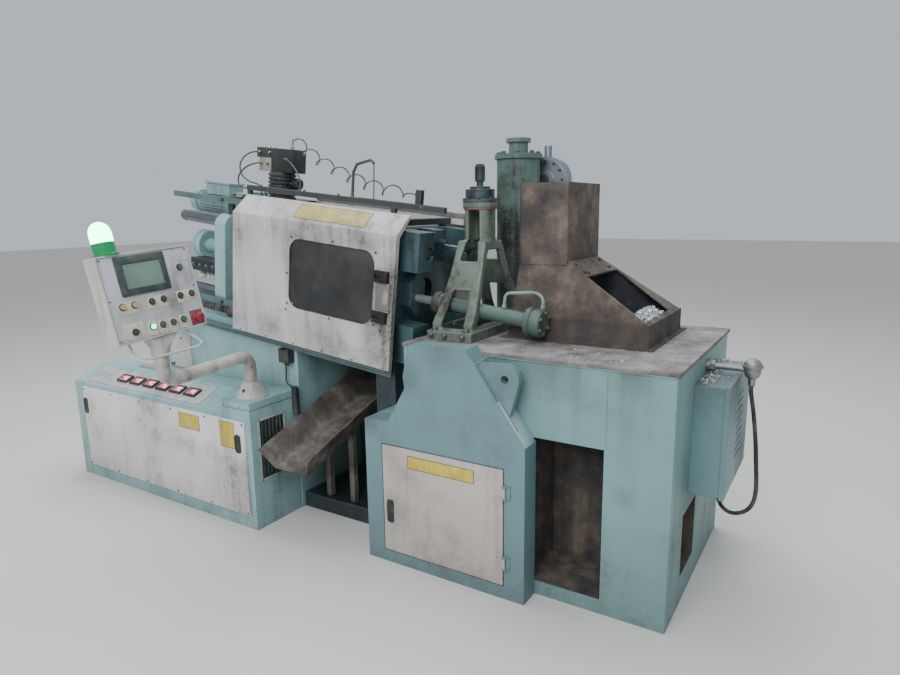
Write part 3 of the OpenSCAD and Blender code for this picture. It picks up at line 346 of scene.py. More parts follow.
def joined(*shapes):
    """Several shapes as one: the points one after another, and each face's numbers moved up to match."""
    points, faces, count = [], [], 0
    for some, skin in shapes:
        points.append(np.asarray(some, float))
        faces += [[i + count for i in face] for face in skin]
        count += len(some)
    return np.vstack(points), faces


light_teal = worn_enamel("light_teal_enamel", "#96bebe")
dress(light_teal, "machine_bed")
new_piece("bed_welds", joined(
    bead((-1398, -272, 631), (-322, -272, 631)), bead((-1398, 272, 631), (-322, 272, 631)),
    bead((-900, -291, 10), (-900, -291, 620)), bead((-900, 291, 10), (-900, 291, 620))), light_teal, "bed_paint")


# The cover on the bed's front: an off-white sheet held by a key screw at its top and a black knob near its foot.
def lathe(profile, axis=2, centre=(0, 0, 0), sides=36):
    """A turned shape: each pair of a place along the axis and a radius becomes a ring about the axis."""
    along, radius = np.array(profile, float).T[:, :, None]
    angle = np.arange(sides) * 2 * math.pi / sides
    points, faces = loft(np.stack([radius * np.cos(angle), radius * np.sin(angle), along + 0 * angle], -1))
    return np.roll(points, axis + 1, 1) + np.array(centre, float), faces


off_white = worn_enamel("off_white_enamel", "#cdc8c3", dirt="#55524e", dirty=0.4, chipped=0.15)
dress(off_white, "bed_cover")
black_plastic = moulded("black_moulded_plastic", "#1d1f21", 0.42)
new_piece("bed_cover_screws", joined(
    lathe([(-289, 5), (-288.6, 8.6), (-280, 9.3), (-274, 9.3)], 1, (-1335, 0, 674)),
    lathe([(-276.5, 3), (-276, 6), (-274.2, 7)], 1, (-1251, 0, 832), 12)), black_plastic, "black_plastic")


# The open frame under the die, of plate and box section, dark with die oil and with painted shade under the door,
# and the sheet steel chute in it that is brown with rust and polished where parts slide.
def rusty_steel(name, colour, pale, deep, cloud_mm, splash="#c9c9c6", splashed=0.0, low=None, streaky=0.3,
                burnt_at=()):
    """Rust: coarse noise runs from deep to pale, noise drawn out along Z streaks it, fine noise pits it, and the
    peaks of a middling noise are splashes of metal. Under the height low, in metres, it is darker, and so it is round
    each burnt place, which has X, Y, Z and radius in millimetres and a strength."""
    material = new_material(name)
    tree = material.node_tree
    drop_mm, pit_mm = 26, 9
    place = add(tree, "TexCoord", out="Object")
    cloud = add(tree, "TexNoise", {"Vector": place, "Scale": 1000 / cloud_mm, "Detail": 9, "Roughness": 0.68})
    tall = add(tree, "Mapping", {"Vector": place, "Scale": (17, 17, 1.6)})
    streak = add(tree, "TexNoise", {"Vector": tall, "Scale": 1, "Detail": 5, "Roughness": 0.6})
    tone = add(tree, "ValToRGB", (add(tree, "Mix", {"Factor": streaky, "A": cloud, "B": streak}),))
    ramp = tone.node.color_ramp
    ramp.elements[0].position, ramp.elements[0].color = 0.34, linear(deep)
    ramp.elements[1].position, ramp.elements[1].color = 0.68, linear(pale)
    ramp.elements.new(0.5).color = linear(colour)
    drop = add(tree, "TexNoise", {"Vector": place, "Scale": 1000 / drop_mm, "Detail": 7, "Roughness": 0.75})
    splashes = add(tree, "MapRange", (drop, 0.74 - 0.16 * splashed, 0.77 - 0.16 * splashed, 0.0,
                                      1.0 if splashed else 0.0))
    tone = add(tree, "Mix", {"Factor": splashes, "A": tone, "B": splash}, "Result", data_type="RGBA")
    if low:
        dark = add(tree, "MapRange", (add(tree, "SeparateXYZ", (place,), "Z"), low, low + 0.02, 0.55, 0.0))
        tone = add(tree, "Mix", {"Factor": dark, "A": tone, "B": deep}, "Result", data_type="RGBA")
    for x, y, z, radius, strength in burnt_at:
        far = add(tree, "VectorMath", (place, (x / 1000, y / 1000, z / 1000)), "Value", operation="DISTANCE")
        rough_edge = add(tree, "Math", (cloud, radius / 1600, far), operation="MULTIPLY_ADD")
        near = add(tree, "MapRange", (rough_edge, radius / 2200, radius / 800, strength, 0.0))
        tone = add(tree, "Mix", {"Factor": near, "A": tone, "B": deep}, "Result", data_type="RGBA")
    pits = add(tree, "TexNoise", {"Vector": place, "Scale": 1000 / pit_mm, "Detail": 6, "Roughness": 0.7})
    high = add(tree, "Math", (pits, splashes), operation="ADD")
    soft = add(tree, "Bevel", {"Radius": 0.002}, samples=4)
    return finish(material, {
        "Base Color": tone, "Roughness": add(tree, "MapRange", (splashes, 0.0, 1.0, 0.82, 0.4)),
        "Normal": add(tree, "Bump", {"Height": high, "Strength": 0.5, "Distance": 0.0015, "Normal": soft})})


# The frame's dark teal and its two darker places are partly oil and partly painted shade, for the shadow under the
# door.
frame_teal_oil_and_painted_shade = worn_enamel("oil_blackened_frame_teal_painted_shade", "#3a5355", dirt="#23262a", dirty=0.8, chipped=0.4, rough=0.3,
                        soiled_at=((-60, -270, 60, 420, 0.5), (245, -270, 700, 300, 0.6)))
dress(frame_teal_oil_and_painted_shade, "base_frame")
chute_rust = rusty_steel("rusted_chute_sheet", "#5d5650", "#8a8580", "#322d2a", 120, splashed=0.3)
dress(chute_rust, "chute")


# The control cabinet: folded sheet steel in light teal. Its front panel is off-white with two black pulls, a seam with
# small screws runs round its raised end, and dark louvres in a pale frame close the vent at that end.
def stack(rings, centre=(0, 0), steps=4):
    """Rounded rectangles lofted upwards. Each ring is a width, a height, a corner radius and a level, and a corner's
    point is that corner's centre plus the radius times the cosine and sine of the angle."""
    w, h, r, z = np.array(rings, float).T[:, :, None]
    corner = np.repeat([(1, 1), (-1, 1), (-1, -1), (1, -1)], steps + 1, 0)
    angle = (np.repeat(np.arange(4), steps + 1) + np.tile(np.linspace(0, 1, steps + 1), 4)) * math.pi / 2
    cx, cy = np.broadcast_to(np.array(centre, float), (len(w), 2)).T[:, :, None]
    x = cx + corner[:, 0] * (w / 2 - r) + r * np.cos(angle)
    y = cy + corner[:, 1] * (h / 2 - r) + r * np.sin(angle)
    return loft(np.stack([x, y, z + 0 * x], -1))


def plate(w, h, t, r, edge, centre=(0, 0), low=0):
    """A flat plate with rounded corners and a small chamfer all round both faces."""
    return stack([(w - 2 * edge, h - 2 * edge, r, low), (w, h, r, low + edge), (w, h, r, low + t - edge),
                  (w - 2 * edge, h - 2 * edge, r, low + t)], centre)


def copies(shape, centres, sizes=1.0, turns=None):
    """A shape repeated: each copy's points are turned by its matrix, scaled by its size and moved to its centre."""
    points, faces = shape
    centres = np.asarray(centres, float)
    turns = np.broadcast_to(np.eye(3) if turns is None else turns, (len(centres), 3, 3))
    scale = np.reshape(sizes * np.ones(len(centres)), (-1, 1, 1))
    moved = np.einsum("pj,njk->npk", points, turns) * scale + centres[:, None]
    return moved.reshape(-1, 3), [[i + n * len(points) for i in face] for n in range(len(centres)) for face in faces]


def facing(out):
    """The turn that takes Z to a direction: its rows are two directions square to it, and the direction itself."""
    out = np.array(out, float) / np.linalg.norm(out)
    first = np.cross(out, (0, 0, 1) if abs(out[2]) < 0.9 else (1, 0, 0))
    first /= np.linalg.norm(first)
    return np.array([first, np.cross(out, first), out])


def screw_head(diameter):
    """A low round screw head: four rings of ten points, domed."""
    return lathe([(0, diameter / 2), (diameter * 0.14, diameter * 0.48), (diameter * 0.26, diameter * 0.34),
                  (diameter * 0.3, diameter * 0.1)], sides=10)


dress(light_teal, "control_cabinet")
front_white = worn_enamel("scuffed_white_enamel", "#efe9ea", dirt="#675c55", dirty=0.4, chipped=0.05, low_grime=0.45,
                          soiled_at=((-1100, -612, 500, 330, 0.3), (-430, -612, 250, 300, 0.35)))
FRONT = {"origin": (0, -600, 0), "up": (0, 0, 1)}
new_piece("front_panel", plate(1388, 485, 12, 4, 1.5, (-1056, 312.5)), front_white, "white_paint",
          node="cabinet_panel", **FRONT)
pull = stack([(42, 96, 16, 11), (42, 96, 16, 13.4), (40, 94, 15, 14.4), (35, 89, 13, 14.4), (34, 88, 12.5, 12.3)])
new_piece("panel_pulls", copies(pull, [(-1727, 440, 0), (-410, 440, 0)]), black_plastic, "black_plastic", **FRONT)
new_piece("panel_screws", joined(
    copies(screw_head(11), [(x, z, 12) for x in np.linspace(-1738, -374, 6) for z in (82, 543)]),
    copies(screw_head(6), [(x, 625, -0.2) for x in (-508, -450, -392, -336)])), black_plastic, "black_plastic", **FRONT)
vent_grey = worn_enamel("grey_vent_enamel", "#b5b8b6", dirty=0.5)
END = {"origin": (-325, 0, 0), "across": (0, 1, 0), "up": (0, 0, 1)}
new_piece("vent_frame", joined(*(plate(w, h, 2.4, 1, 0.5, centre) for w, h, centre in (
    (12, 318, (-551, 401)), (12, 318, (-384, 401)), (167, 12, (-467.5, 555)), (167, 12, (-467.5, 247))))),
    vent_grey, "cabinet_paint", **END)
louvre = stack([(3.4, 298, 1, -17), (3.4, 298, 1, -1.5)])
SLAT = 0.5
slant = [[math.cos(SLAT), 0, math.sin(SLAT)], [0, 1, 0], [-math.sin(SLAT), 0, math.cos(SLAT)]]
new_piece("vent_louvres", copies(louvre, [(y, 401, 0) for y in range(-537, -388, 12)], turns=slant),
          black_plastic, "black_plastic", **END)
new_piece("cabinet_top_box", plate(168, 44, 13, 4, 2, (-1442, -358), 650),
          worn_enamel("grey_box_enamel", "#a4a7a8"), "cabinet_paint")


# The bare yellow plates, where the real machine carries printed ones: thin aluminium, yellow enamel with a black line
# round it, scuffed, and held by four small rivets each.
yellow_plate = worn_enamel("yellow_plate_enamel", "#d9bf3f", dirt="#6a5830", bare="#8b8778", blotch_mm=60, dirty=0.35,
                           chipped=-0.8, low_grime=0.2, rough=0.35)
black_line = moulded("black_plate_line", "#24221e", 0.5)


def name_plate(name, width, height, centre, enamel=yellow_plate, **place):
    """A bare plate: a black back plate shows as a line round the coloured one, and a rivet holds each corner."""
    line_width, inset = 2.5, 8
    new_piece(name + "_line", plate(width, height, 0.8, 3, 0.2, centre), black_line, "label", **place)
    new_piece(name, joined(
        plate(width - 2 * line_width, height - 2 * line_width, 1.1, 2, 0.2, centre),
        copies(screw_head(4), [(centre[0] + i * (width / 2 - inset), centre[1] + j * (height / 2 - inset), 1.0)
                               for i in (-1, 1) for j in (-1, 1)])), enamel, "label", **place)


ON_PANEL = {"origin": (0, -612, 0), "up": (0, 0, 1)}
name_plate("cabinet_plate_wide", 165, 81, (-775.5, 495.5), **ON_PANEL)
name_plate("cabinet_plate_tall", 104, 134, (-485, 476), **ON_PANEL)


# The meter desk: an off-white plate on the cabinet's sloping top with six temperature controllers in it. Each has a
# black plastic bezel and a dark window with glowing red figures.
DESK_ANGLE = math.atan2(75, 180)
DESK = {"origin": (0, -600, 575), "up": (0, math.cos(DESK_ANGLE), math.sin(DESK_ANGLE))}
METERS = [(-1453 + i * 119.5, 92) for i in range(6)]
desk_white = worn_enamel("desk_white_enamel", "#cdc9c8", dirt="#4f4a48", dirty=0.5)
new_piece("meter_plate", joined(
    plate(1014, 150, 3, 6, 0.6, (-1238, 95)),
    copies(screw_head(7), [(x, y, 3) for x in (-1735, -1487, -1238, -989, -741) for y in (28, 162)])),
    desk_white, "white_paint", node="meter_desk", **DESK)
meter = stack([(94, 60, 3, 2.8), (94, 60, 3, 14), (91, 57, 2.5, 15), (78, 42, 1.5, 15), (76, 40, 1, 12.6)])
new_piece("meters", copies(meter, [(x, y, 0) for x, y in METERS]), black_plastic, "black_plastic",
          node="meter_desk", **DESK)
smoked = finish(moulded("smoked_red_acrylic", "#9c6a74", 0.12, dusty=0.05, relief=0.02),
                {"Emission Color": "#ff7488", "Emission Strength": 0.42})
new_piece("meter_windows", copies(plate(75, 39, 0.8, 1, 0.2), [(x, y, 12.5) for x, y in METERS]), smoked, "screen",
          **DESK)
BARS = [(0, 1, 1, 0), (0.5, 0.5, 0, 1), (0.5, -0.5, 0, 1), (0, -1, 1, 0), (-0.5, -0.5, 0, 1), (-0.5, 0.5, 0, 1),
        (0, 0, 1, 0)]
LIT = {"0": "012345", "1": "12", "2": "01346", "3": "01236", "4": "1256", "5": "02356", "6": "023456", "7": "012",
       "8": "0123456", "9": "012356"}


def figures(text, height, right, middle):
    """Seven-bar figures as flat bars: each bar lies at a place and runs across or up, in half heights."""
    thin, pitch, low, high = 0.1, 0.78, 13.3, 13.8
    parts = []
    for n, figure in enumerate(reversed(text)):
        for x, y, level, upright in (BARS[int(bar)] for bar in LIT[figure]):
            w, h = height * (0.42 * level + thin), height * (0.4 * upright + thin)
            parts.append(stack([(w, h, 0.2, low), (w, h, 0.2, high)], (
                right - n * height * pitch + x * height * 0.52, middle + y * height * 0.5), 1))
    return joined(*parts)


red_figures = new_material("red_figures", {"Base Color": "#ffb4b8", "Emission Color": "#ff9aa2",
                                           "Emission Strength": 3.5})
shown = [("425", "430"), ("418", "420"), ("407", "410"), ("392", "395"), ("180", "185"), ("165", "170")]
new_piece("meter_figures", joined(*(
    figures(text, size, x + right, y + lift) for (x, y), pair in zip(METERS, shown)
    for text, size, right, lift in ((pair[0], 18, 20, 5), (pair[1], 8, 26, -12)))), red_figures, "screen", **DESK)


# The pendant's foot and arm: a spun cone bolted to the cabinet, and an off-white welded tube that swivels in it.
arm_white = worn_enamel("arm_white_enamel", "#d2cec8", dirt="#6f6a61", dirty=0.6, chipped=-0.2)
dress(arm_white, "pendant_base", "pendant_arm")


def hex_head(across):
    """A hexagon head on its washer, in rings of twelve points: the hexagon's radius is half its width over the cosine
    of the angle from the nearest flat's middle."""
    angle = np.arange(12) * math.pi / 6
    six = across / 2 / np.cos((angle + math.pi / 6) % (math.pi / 3) - math.pi / 6)
    rows = [(0 * six + across * 0.9, 0), (0 * six + across * 0.9, across * 0.14), (six, across * 0.14),
            (six, across * 0.66), (0 * six + across * 0.43, across * 0.76)]
    return loft([np.stack([r * np.cos(angle), r * np.sin(angle), z + 0 * r], -1) for r, z in rows])


def circle(count, radius, centre, axis=2, first=0.0):
    """Points evenly round an axis: the centre plus the radius times the cosine and sine of each angle, from the
    first one on."""
    angle = first + np.arange(count) * 2 * math.pi / count
    ring = np.stack([radius * np.cos(angle), radius * np.sin(angle), 0 * angle], 1)
    return np.roll(ring, axis + 1, 1) + np.array(centre, float)


dark_steel = moulded("blackened_bolt_steel", "#3b3c3c", 0.38, dust="#6f675c", dusty=0.3)
new_piece("pendant_foot_bolts", copies(hex_head(9), circle(6, 69, (-430, -485, 656), first=0.3)), dark_steel,
          "dark_steel")
quarter = np.array([[0.7071, 0.7071, 0], [-0.7071, 0.7071, 0], [0, 0, 1]])
new_piece("pendant_foot_plug", copies(plate(16, 16, 2.4, 2, 0.8, (0, 0), 4), [(-420, -542, 690)],
                                      turns=quarter @ facing((0.156, -0.885, 0.438))), dark_steel, "dark_steel")
ARM_ANGLE = math.radians(-79.6)
new_piece("pendant_arm_welds", joined(*(
    lathe([(a - 3, 29.6), (a - 1.5, 31.4), (a + 1.5, 31.4), (a + 3, 29.6)], 0) for a in (70, 484))),
    arm_white, "white_paint", body="pendant_arm", origin=(-430, -485, 860),
    across=(math.cos(ARM_ANGLE), math.sin(ARM_ANGLE), 0), up=(0, 0, 1))


# The pendant's box: folded steel, off-white, with a grey lacquered face sheet held by eight black screws, a colour
# screen, push buttons in pairs on cream plates, a rotary switch, and a red stop button on its red plate.
tilt = (Matrix.Rotation(math.radians(91.1), 3, "Z") @ Matrix.Rotation(math.radians(-9.8), 3, "X")
        @ Matrix.Rotation(math.radians(-3.9), 3, "Y"))
BOX_AT = (-329.99, -1029.9, 1234)
FACE = {"body": "pendant_box", "origin": BOX_AT, "across": tuple(tilt.col[0]), "up": tuple(tilt.col[2])}
box_white = worn_enamel("box_white_enamel", "#cbc8c4", dirt="#6d675c", dirty=0.5, chipped=-0.2,
                        soiled_at=((-420, -1030, 1160, 240, 0.5),))
dress(box_white, "pendant_box")
lacquer = worn_enamel("grey_face_lacquer", "#b9bac2", dirt="#6f665f", dirty=0.6, chipped=-0.8, rough=0.35,
                      soiled_at=((-320, -1130, 1180, 120, 0.3), (-320, -960, 1180, 110, 0.3)))
new_piece("pendant_face", plate(401, 331, 1.6, 3, 0.4, (0, 0), -4.4), lacquer, "white_paint", **FACE)
new_piece("pendant_face_screws", copies(screw_head(7), [
    (x, z, -2.8) for x, z in ((-193, 158), (193, 158), (-193, -158), (193, -158), (0, 160), (0, -160), (-193, 0),
                              (193, 0))]), dark_steel, "dark_steel", **FACE)
# The bezel is dark grey; its green tint is a painted reflection of green light.
new_piece("screen_bezel", stack(
    [(223, 156, 6, -3), (223, 156, 6, 1), (220, 153, 5, 2), (171, 102, 2, 2), (167, 98, 2, -1.4)],
    [(-27.5, 85), (-27.5, 85), (-27.5, 85), (-24, 82.5), (-24, 82.5)]),
    moulded("grey_bezel_painted_green_sheen", "#33423f", 0.4), "black_plastic", node="pendant_screen", **FACE)
# Lit screen glass: a grey green wash behind gloss, a little brighter in clouds. It is a lit screen, and its green is
# partly a painted reflection of green light.
glass = new_material("lit_glass_painted_green_sheen", {"Emission Strength": 0.2, "Roughness": 0.12})
tree = glass.node_tree
wash = add(tree, "TexNoise", {"Vector": add(tree, "TexCoord", out="Object"), "Scale": 7, "Detail": 2})
screen_light_and_green_sheen = add(tree, "Mix", {"Factor": wash, "A": "#47635a", "B": "#72887f"}, "Result", data_type="RGBA")
finish(glass, {"Base Color": screen_light_and_green_sheen, "Emission Color": screen_light_and_green_sheen})
new_piece("screen_glass", plate(166, 97, 0.8, 1, 0.2, (-24, 82.5), -1.5), glass, "screen",
          node="pendant_screen", **FACE)

cream = moulded("cream_engraved_plastic", "#c9bfa9", 0.5, dusty=0.3)
new_piece("button_plates", joined(
    *(plate(w, h, 1.2, 9, 0.3, (x, z), -2.9) for x, z, w, h in (
        (-124, -35, 92, 50), (7.5, -36, 92, 50), (144.5, -37, 94, 52), (-46, -137, 42, 56), (1, -139, 42, 56),
        (51, -140, 42, 56), (102, -138, 42, 56), (-128, -128, 92, 62)))), cream, "label", **FACE)
new_piece("stop_button_plate", plate(62, 62, 1.2, 4, 0.3, (168, -135), -2.9),
          worn_enamel("red_plate_enamel", "#7d2c38", dirt="#3a2a2a", chipped=0.0), "label", **FACE)
BUTTONS = {"cream": [(-150, -29), (-98, -30)], "dark": [(-20, -31), (35, -30), (116, -31), (173, -31), (51, -132)],
           "bronze": [(1, -131)], "green": [(102, -130), (147, 86)], "lit": [(-46, -129)]}
SWITCH_AT = (-125, -134, 0)
everywhere = [(x, z, 0) for group in BUTTONS.values() for x, z in group] + [SWITCH_AT]
collar = lathe([(-3, 14.5), (0.4, 14.5), (1.2, 13.4), (1.2, 11.4), (2, 11.4), (2, 11)], sides=24)
new_piece("button_collars", copies(collar, everywhere), black_plastic, "black_plastic", node="pendant_controls", **FACE)
cap = lathe([(0, 10.6), (6.6, 10.6), (7.8, 9.6), (7.4, 7), (7.2, 0.5)], sides=24)
lit_green = new_material("lit_green_button", {"Base Color": "#5cf0c0", "Emission Color": "#4dffc0",
                                              "Emission Strength": 4.0})
CAPS = {"cream": "#b8a77c", "dark": "#39413f", "bronze": "#5a4f46", "green": "#2e5a4c"}
for group, places in BUTTONS.items():
    plastic = moulded(group + "_button_plastic", CAPS[group], 0.3) if group in CAPS else lit_green
    new_piece("buttons_" + group, copies(cap, [(x, z, 0) for x, z in places]), plastic, "black_plastic",
              node="pendant_controls", **FACE)
new_piece("rotary_switch", joined(
    lathe([(0, 11), (9, 10.6), (10, 9.6), (10, 0.5)], centre=SWITCH_AT, sides=24),
    copies(stack([(23, 7.5, 3, 9), (22, 6, 2.6, 17), (20, 4, 2, 18)]), [SWITCH_AT],
           turns=[[0.94, 0.34, 0], [-0.34, 0.94, 0], [0, 0, 1]])), black_plastic, "black_plastic",
    node="pendant_controls", **FACE)
new_piece("stop_button", lathe([(-4, 15), (2, 15), (4, 11.2), (12, 11.2), (15.6, 19), (18, 20), (22, 19.6),
                                (25.4, 16), (26.6, 9), (27, 0.5)], centre=(170, -137, 0)),
          moulded("red_button_plastic", "#8e2530", 0.36), "black_plastic", node="pendant_controls", **FACE)


# The beacon: a dome of clear green acrylic on a darker green skirt, screwed to the box's top. It is lit, so the dome
# glows almost white.
HEAD = {**FACE, "up": tuple(tilt.col[1])}
BEACON = {"centre": (-136, 37, 0)}
skirt_green = new_material("green_lens_skirt", {"Base Color": "#067a45", "Emission Color": "#0fae66",
                                                "Emission Strength": 0.22, "Roughness": 0.25})
new_piece("beacon_skirt", lathe([(175, 49), (178, 50), (182, 50), (184, 46), (186, 42), (226, 42), (228, 40)],
                                sides=48, **BEACON), skirt_green, "green_lens", node="beacon", **HEAD)
lens_green = new_material("lit_green_lens", {"Base Color": "#8cffc4", "Emission Color": "#5cffa8",
                                             "Emission Strength": 14.0})
dome = [(226, 41), (228, 41), (250, 41), (262, 41)] + [
    (262 + 45 * math.sin(a), 0.5 + 40.5 * math.cos(a)) for a in np.linspace(0.1, math.pi / 2, 10)]
new_piece("beacon_lens", lathe(dome, sides=64, **BEACON), lens_green, "green_lens", node="beacon", **HEAD)


# The clamping unit: thick steel platens in teal on four ground tie bars, and the two halves of the die between them.
# The bars and the die are bare machined steel under a film of oil.
def machined_steel(name, colour, rough, grain_mm=3.0, metallic=1.0, film=0.55):
    """Machined steel: fine noise grains it, and wide noise is an oil film that darkens it and changes its gloss."""
    material = new_material(name, {"Metallic": metallic})
    tree = material.node_tree
    place = add(tree, "TexCoord", out="Object")
    grain = add(tree, "TexNoise", {"Vector": place, "Scale": 1000 / grain_mm, "Detail": 4})
    smear = add(tree, "TexNoise", {"Vector": place, "Scale": 12, "Detail": 6, "Roughness": 0.65})
    shade = add(tree, "HueSaturation", {"Color": colour, "Hue": 0.5, "Saturation": 1.0, "Value": film})
    soft = add(tree, "Bevel", {"Radius": 0.0015}, samples=4)
    return finish(material, {
        "Base Color": add(tree, "Mix", {"Factor": smear, "A": colour, "B": shade}, "Result", data_type="RGBA"),
        "Roughness": add(tree, "MapRange", (smear, 0.3, 0.7, rough * 0.7, min(rough * 1.5, 1.0))),
        "Normal": add(tree, "Bump", {"Height": grain, "Strength": 0.1, "Distance": 0.0003, "Normal": soft})})


dress(light_teal, "rear_platen")
# The platens and the shot cylinder are darkened both by oil and by painted shade, for the shadow inside the clamping
# unit.
platen_teal_oil_and_painted_shade = worn_enamel("oil_soaked_platen_teal_painted_shade", "#436064", dirt="#191c1d", dirty=1.1, chipped=0.5, rough=0.28)
dress(platen_teal_oil_and_painted_shade, "fixed_platen", "moving_platen")
bar_steel = machined_steel("oiled_bar_steel", "#8f969c", 0.3)
die_steel = machined_steel("ground_die_steel", "#8d8f92", 0.4)
dress(die_steel, "fixed_die", "moving_die")
BARS_AT = [(v, w) for v in (-180, 180) for w in (-203, 203)]
new_piece("tie_bar_set", joined(*(
    lathe([(-1270, 26), (-1266, 31), (-1240, 32), (-1238, 29), (-1230, 29), (-1228, 32), (412, 32), (418, 28)], 0,
          (0, v, w), 32) for v, w in BARS_AT)), bar_steel, "bar_steel", node="tie_bars", **AXIS)
new_piece("tie_bar_nuts", joined(
    *(lathe([(u, 44), (u + 2, 46), (u + 36, 46), (u + 38, 44)], 0, (0, v, w), 32)
      for v, w in BARS_AT for u in (-944, -818)),
    *(lathe([(u, 40), (u + 8, 46), (u + 10, 46), (u + 14, 42)], 0, (0, v, w), 32)
      for v, w in BARS_AT for u in (-334, -218))), dark_steel, "dark_steel", **AXIS)
TO_FRONT = facing((0, -1, 0))
new_piece("die_screws", copies(hex_head(18), [(u, -145, w) for u in (-180, -60, 40, 160) for w in (-110, 110)],
                               turns=TO_FRONT), dark_steel, "dark_steel", **AXIS)


# The clamping cylinder: a teal head with grooves and a bright ring, a painted tube, and the chromed ram.
CLAMP = {"centre": (0, 0, 20), "sides": 56}
# Only three quarters metallic, so its pale colour shows as diffuse brightness: a painted reflection, standing in for a
# brighter surround.
chrome = machined_steel("hard_chrome_painted_sheen", "#cfd3d6", 0.16, metallic=0.75, film=0.75)
new_piece("clamp_head", joined(
    lathe([(-1345, 78), (-1342, 80), (-1341, 85), (-1338, 86), (-1321, 86), (-1317, 79), (-1311, 79), (-1307, 86),
           (-1278, 86), (-1275, 84), (-1275, 71), (-1282, 70), (-1282, 0.5)], 0, **CLAMP),
    lathe([(-1283, 46), (-1275, 46), (-1275, 40)], 0, **CLAMP),
    lathe([(-1275, 40), (-905, 40)], 0, **CLAMP)), light_teal, "bed_paint", node="clamp_cylinder", **AXIS)
new_piece("clamp_ram", lathe([(-905, 55), (-320, 55)], 0, **CLAMP), chrome, "chrome", node="clamp_cylinder", **AXIS)
new_piece("clamp_head_bolts", copies(hex_head(13), circle(8, 64, (-1344, 0, 20), 0, math.pi / 8),
                                     turns=facing((-1, 0, 0))), dark_steel, "dark_steel", **AXIS)


# The oil manifold on the rear platen: a blackened block with plugged ports, and oil bottles of milky polythene, pale
# and waxy, hanging under it.
black_enamel = worn_enamel("black_enamel", "#25282c", dirty=0.4, chipped=0.3)
new_piece("manifold_block", stack(
    [(354, 94, 1, -115), (360, 100, 3, -112), (360, 100, 3, -45), (354, 94, 1, -42)], (-1085, -100)),
    black_enamel, "base_paint", node="oil_manifold", **AXIS)
new_piece("manifold_plugs", copies(hex_head(15), [(-1235 + 55 * i, -149.6, -78) for i in range(6)], turns=TO_FRONT),
          bar_steel, "bar_steel", node="oil_manifold", **AXIS)
polythene = new_material("milky_polythene", {"Base Color": "#dcdcd4", "Roughness": 0.32})
bottle = lathe([(-163, 11), (-161, 13.4), (-158, 14), (-134, 14), (-129, 11), (-125, 6.5), (-115, 6)], sides=20)
wide = lathe([(-163, 23), (-161, 26), (-158, 27), (-139, 27), (-131, 18), (-125, 9.5), (-115, 9)], sides=24)
new_piece("oil_bottles", joined(
    copies(bottle, [(u, -100, 0) for u in (-1050, -1095, -1130, -1164)]), copies(wide, [(-1222, -100, 0)])),
    polythene, "white_paint", node="oil_manifold", **AXIS)


# The geared motor on its bracket behind the die's height: a finned aluminium body painted teal, a pressed steel fan
# cover, a gear case and a terminal box with a screwed lid.
motor_teal = worn_enamel("motor_teal_enamel", "#83a9a6", dirty=0.5)
dress(motor_teal, "gear_motor")
new_piece("motor_screws", joined(
    copies(screw_head(9), [(u, v, 395) for u in (-1292, -1097) for v in (-4, 84)]),
    copies(hex_head(13), [(u, -20, w) for u in (-1040, -960) for w in (225, 335)], turns=TO_FRONT),
    copies(plate(20, 4, 1.5, 1.8, 0.3), circle(12, 42, (-1423.2, 40, 273), 0),
           turns=[[[0, math.cos(a), math.sin(a)], [0, -math.sin(a), math.cos(a)], [1, 0, 0]]
                  for a in np.arange(12) * math.pi / 6])), dark_steel, "dark_steel", **AXIS)


# The rails, the guard's frame and the beam over the die: box section and bar, black with oil. Bolts hold them, and
# the beam carries an air pipe and the bright fitting for the coiled hose.
rail_dark = worn_enamel("oily_black_enamel", "#3c4143", dirt="#23211e", dirty=0.6, chipped=0.45)
dress(rail_dark, "guard_frame")
dress(worn_enamel("teal_rail_enamel", "#587a7b", dirty=0.7, chipped=0.5), "door_rails")
dress(moulded("black_chain_plastic", "#1d1f21", 0.5, dusty=0.35), "cable_chain")
new_piece("guard_frame_bolts", joined(
    copies(hex_head(13), [(u, -255, 325) for u in (-860, -680, 250)], turns=TO_FRONT),
    copies(hex_head(10), [(u, -225, 417) for u in (-600, -300, -80)]),
    copies(hex_head(13), [(u, -285, -221) for u in range(-1100, 250, 270)], turns=TO_FRONT)),
    dark_steel, "dark_steel", **AXIS)
new_piece("beam_fittings", joined(
    stack([(27, 27, 2, 418), (27, 27, 2, 440), (20, 20, 3, 446), (20, 20, 3, 474), (12, 12, 3, 481)], (374, -211)),
    lathe([(349, 6), (352, 8), (361, 8)], 0, (0, -211, 460), 12),
    lathe([(415, 9), (427, 9)], 2, (5, -225, 0), 12), lathe([(416, 7), (426, 7)], 2, (-330, -225, 0), 6),
    *(lathe([(340, 7), (352, 7), (354, 5)], 2, (-680, v, 0), 6) for v in (-115, -145))), bar_steel, "bar_steel", **AXIS)


# The air valve over the rear of the door: a finned black body on its foot, a beige valve block, a dark cap, the pilot
# bar with its push-in fittings, and a round knob at the side. Along the axis its middle is at V0, and W0 is its foot.
V0, W0 = -680, 340
fins = [(8, 60), *((8 + 20 * i + d, r) for i in range(7) for d, r in (
    (0, 73), (1, 75), (11, 75), (12, 73), (13, 67), (19.4, 67))), (150, 60)]
new_piece("valve_body", joined(
    plate(150, 140, 8, 8, 1, (V0, 0), W0), lathe([(W0 + z, r) for z, r in fins], 2, (V0, 0, 0), 40),
    stack([(158, 96, 2, W0 + 150), (162, 100, 4, W0 + 153), (162, 100, 4, W0 + 268), (156, 94, 2, W0 + 272)],
          (V0 + 43, 0)),
    lathe([(V0 + 70, 15), (V0 + 91, 15), (V0 + 91, 28), (V0 + 95, 31), (V0 + 127, 31), (V0 + 131, 27)], 0,
          (0, 0, W0 + 94), 28)), black_enamel, "black_plastic", node="valve_block", **AXIS)
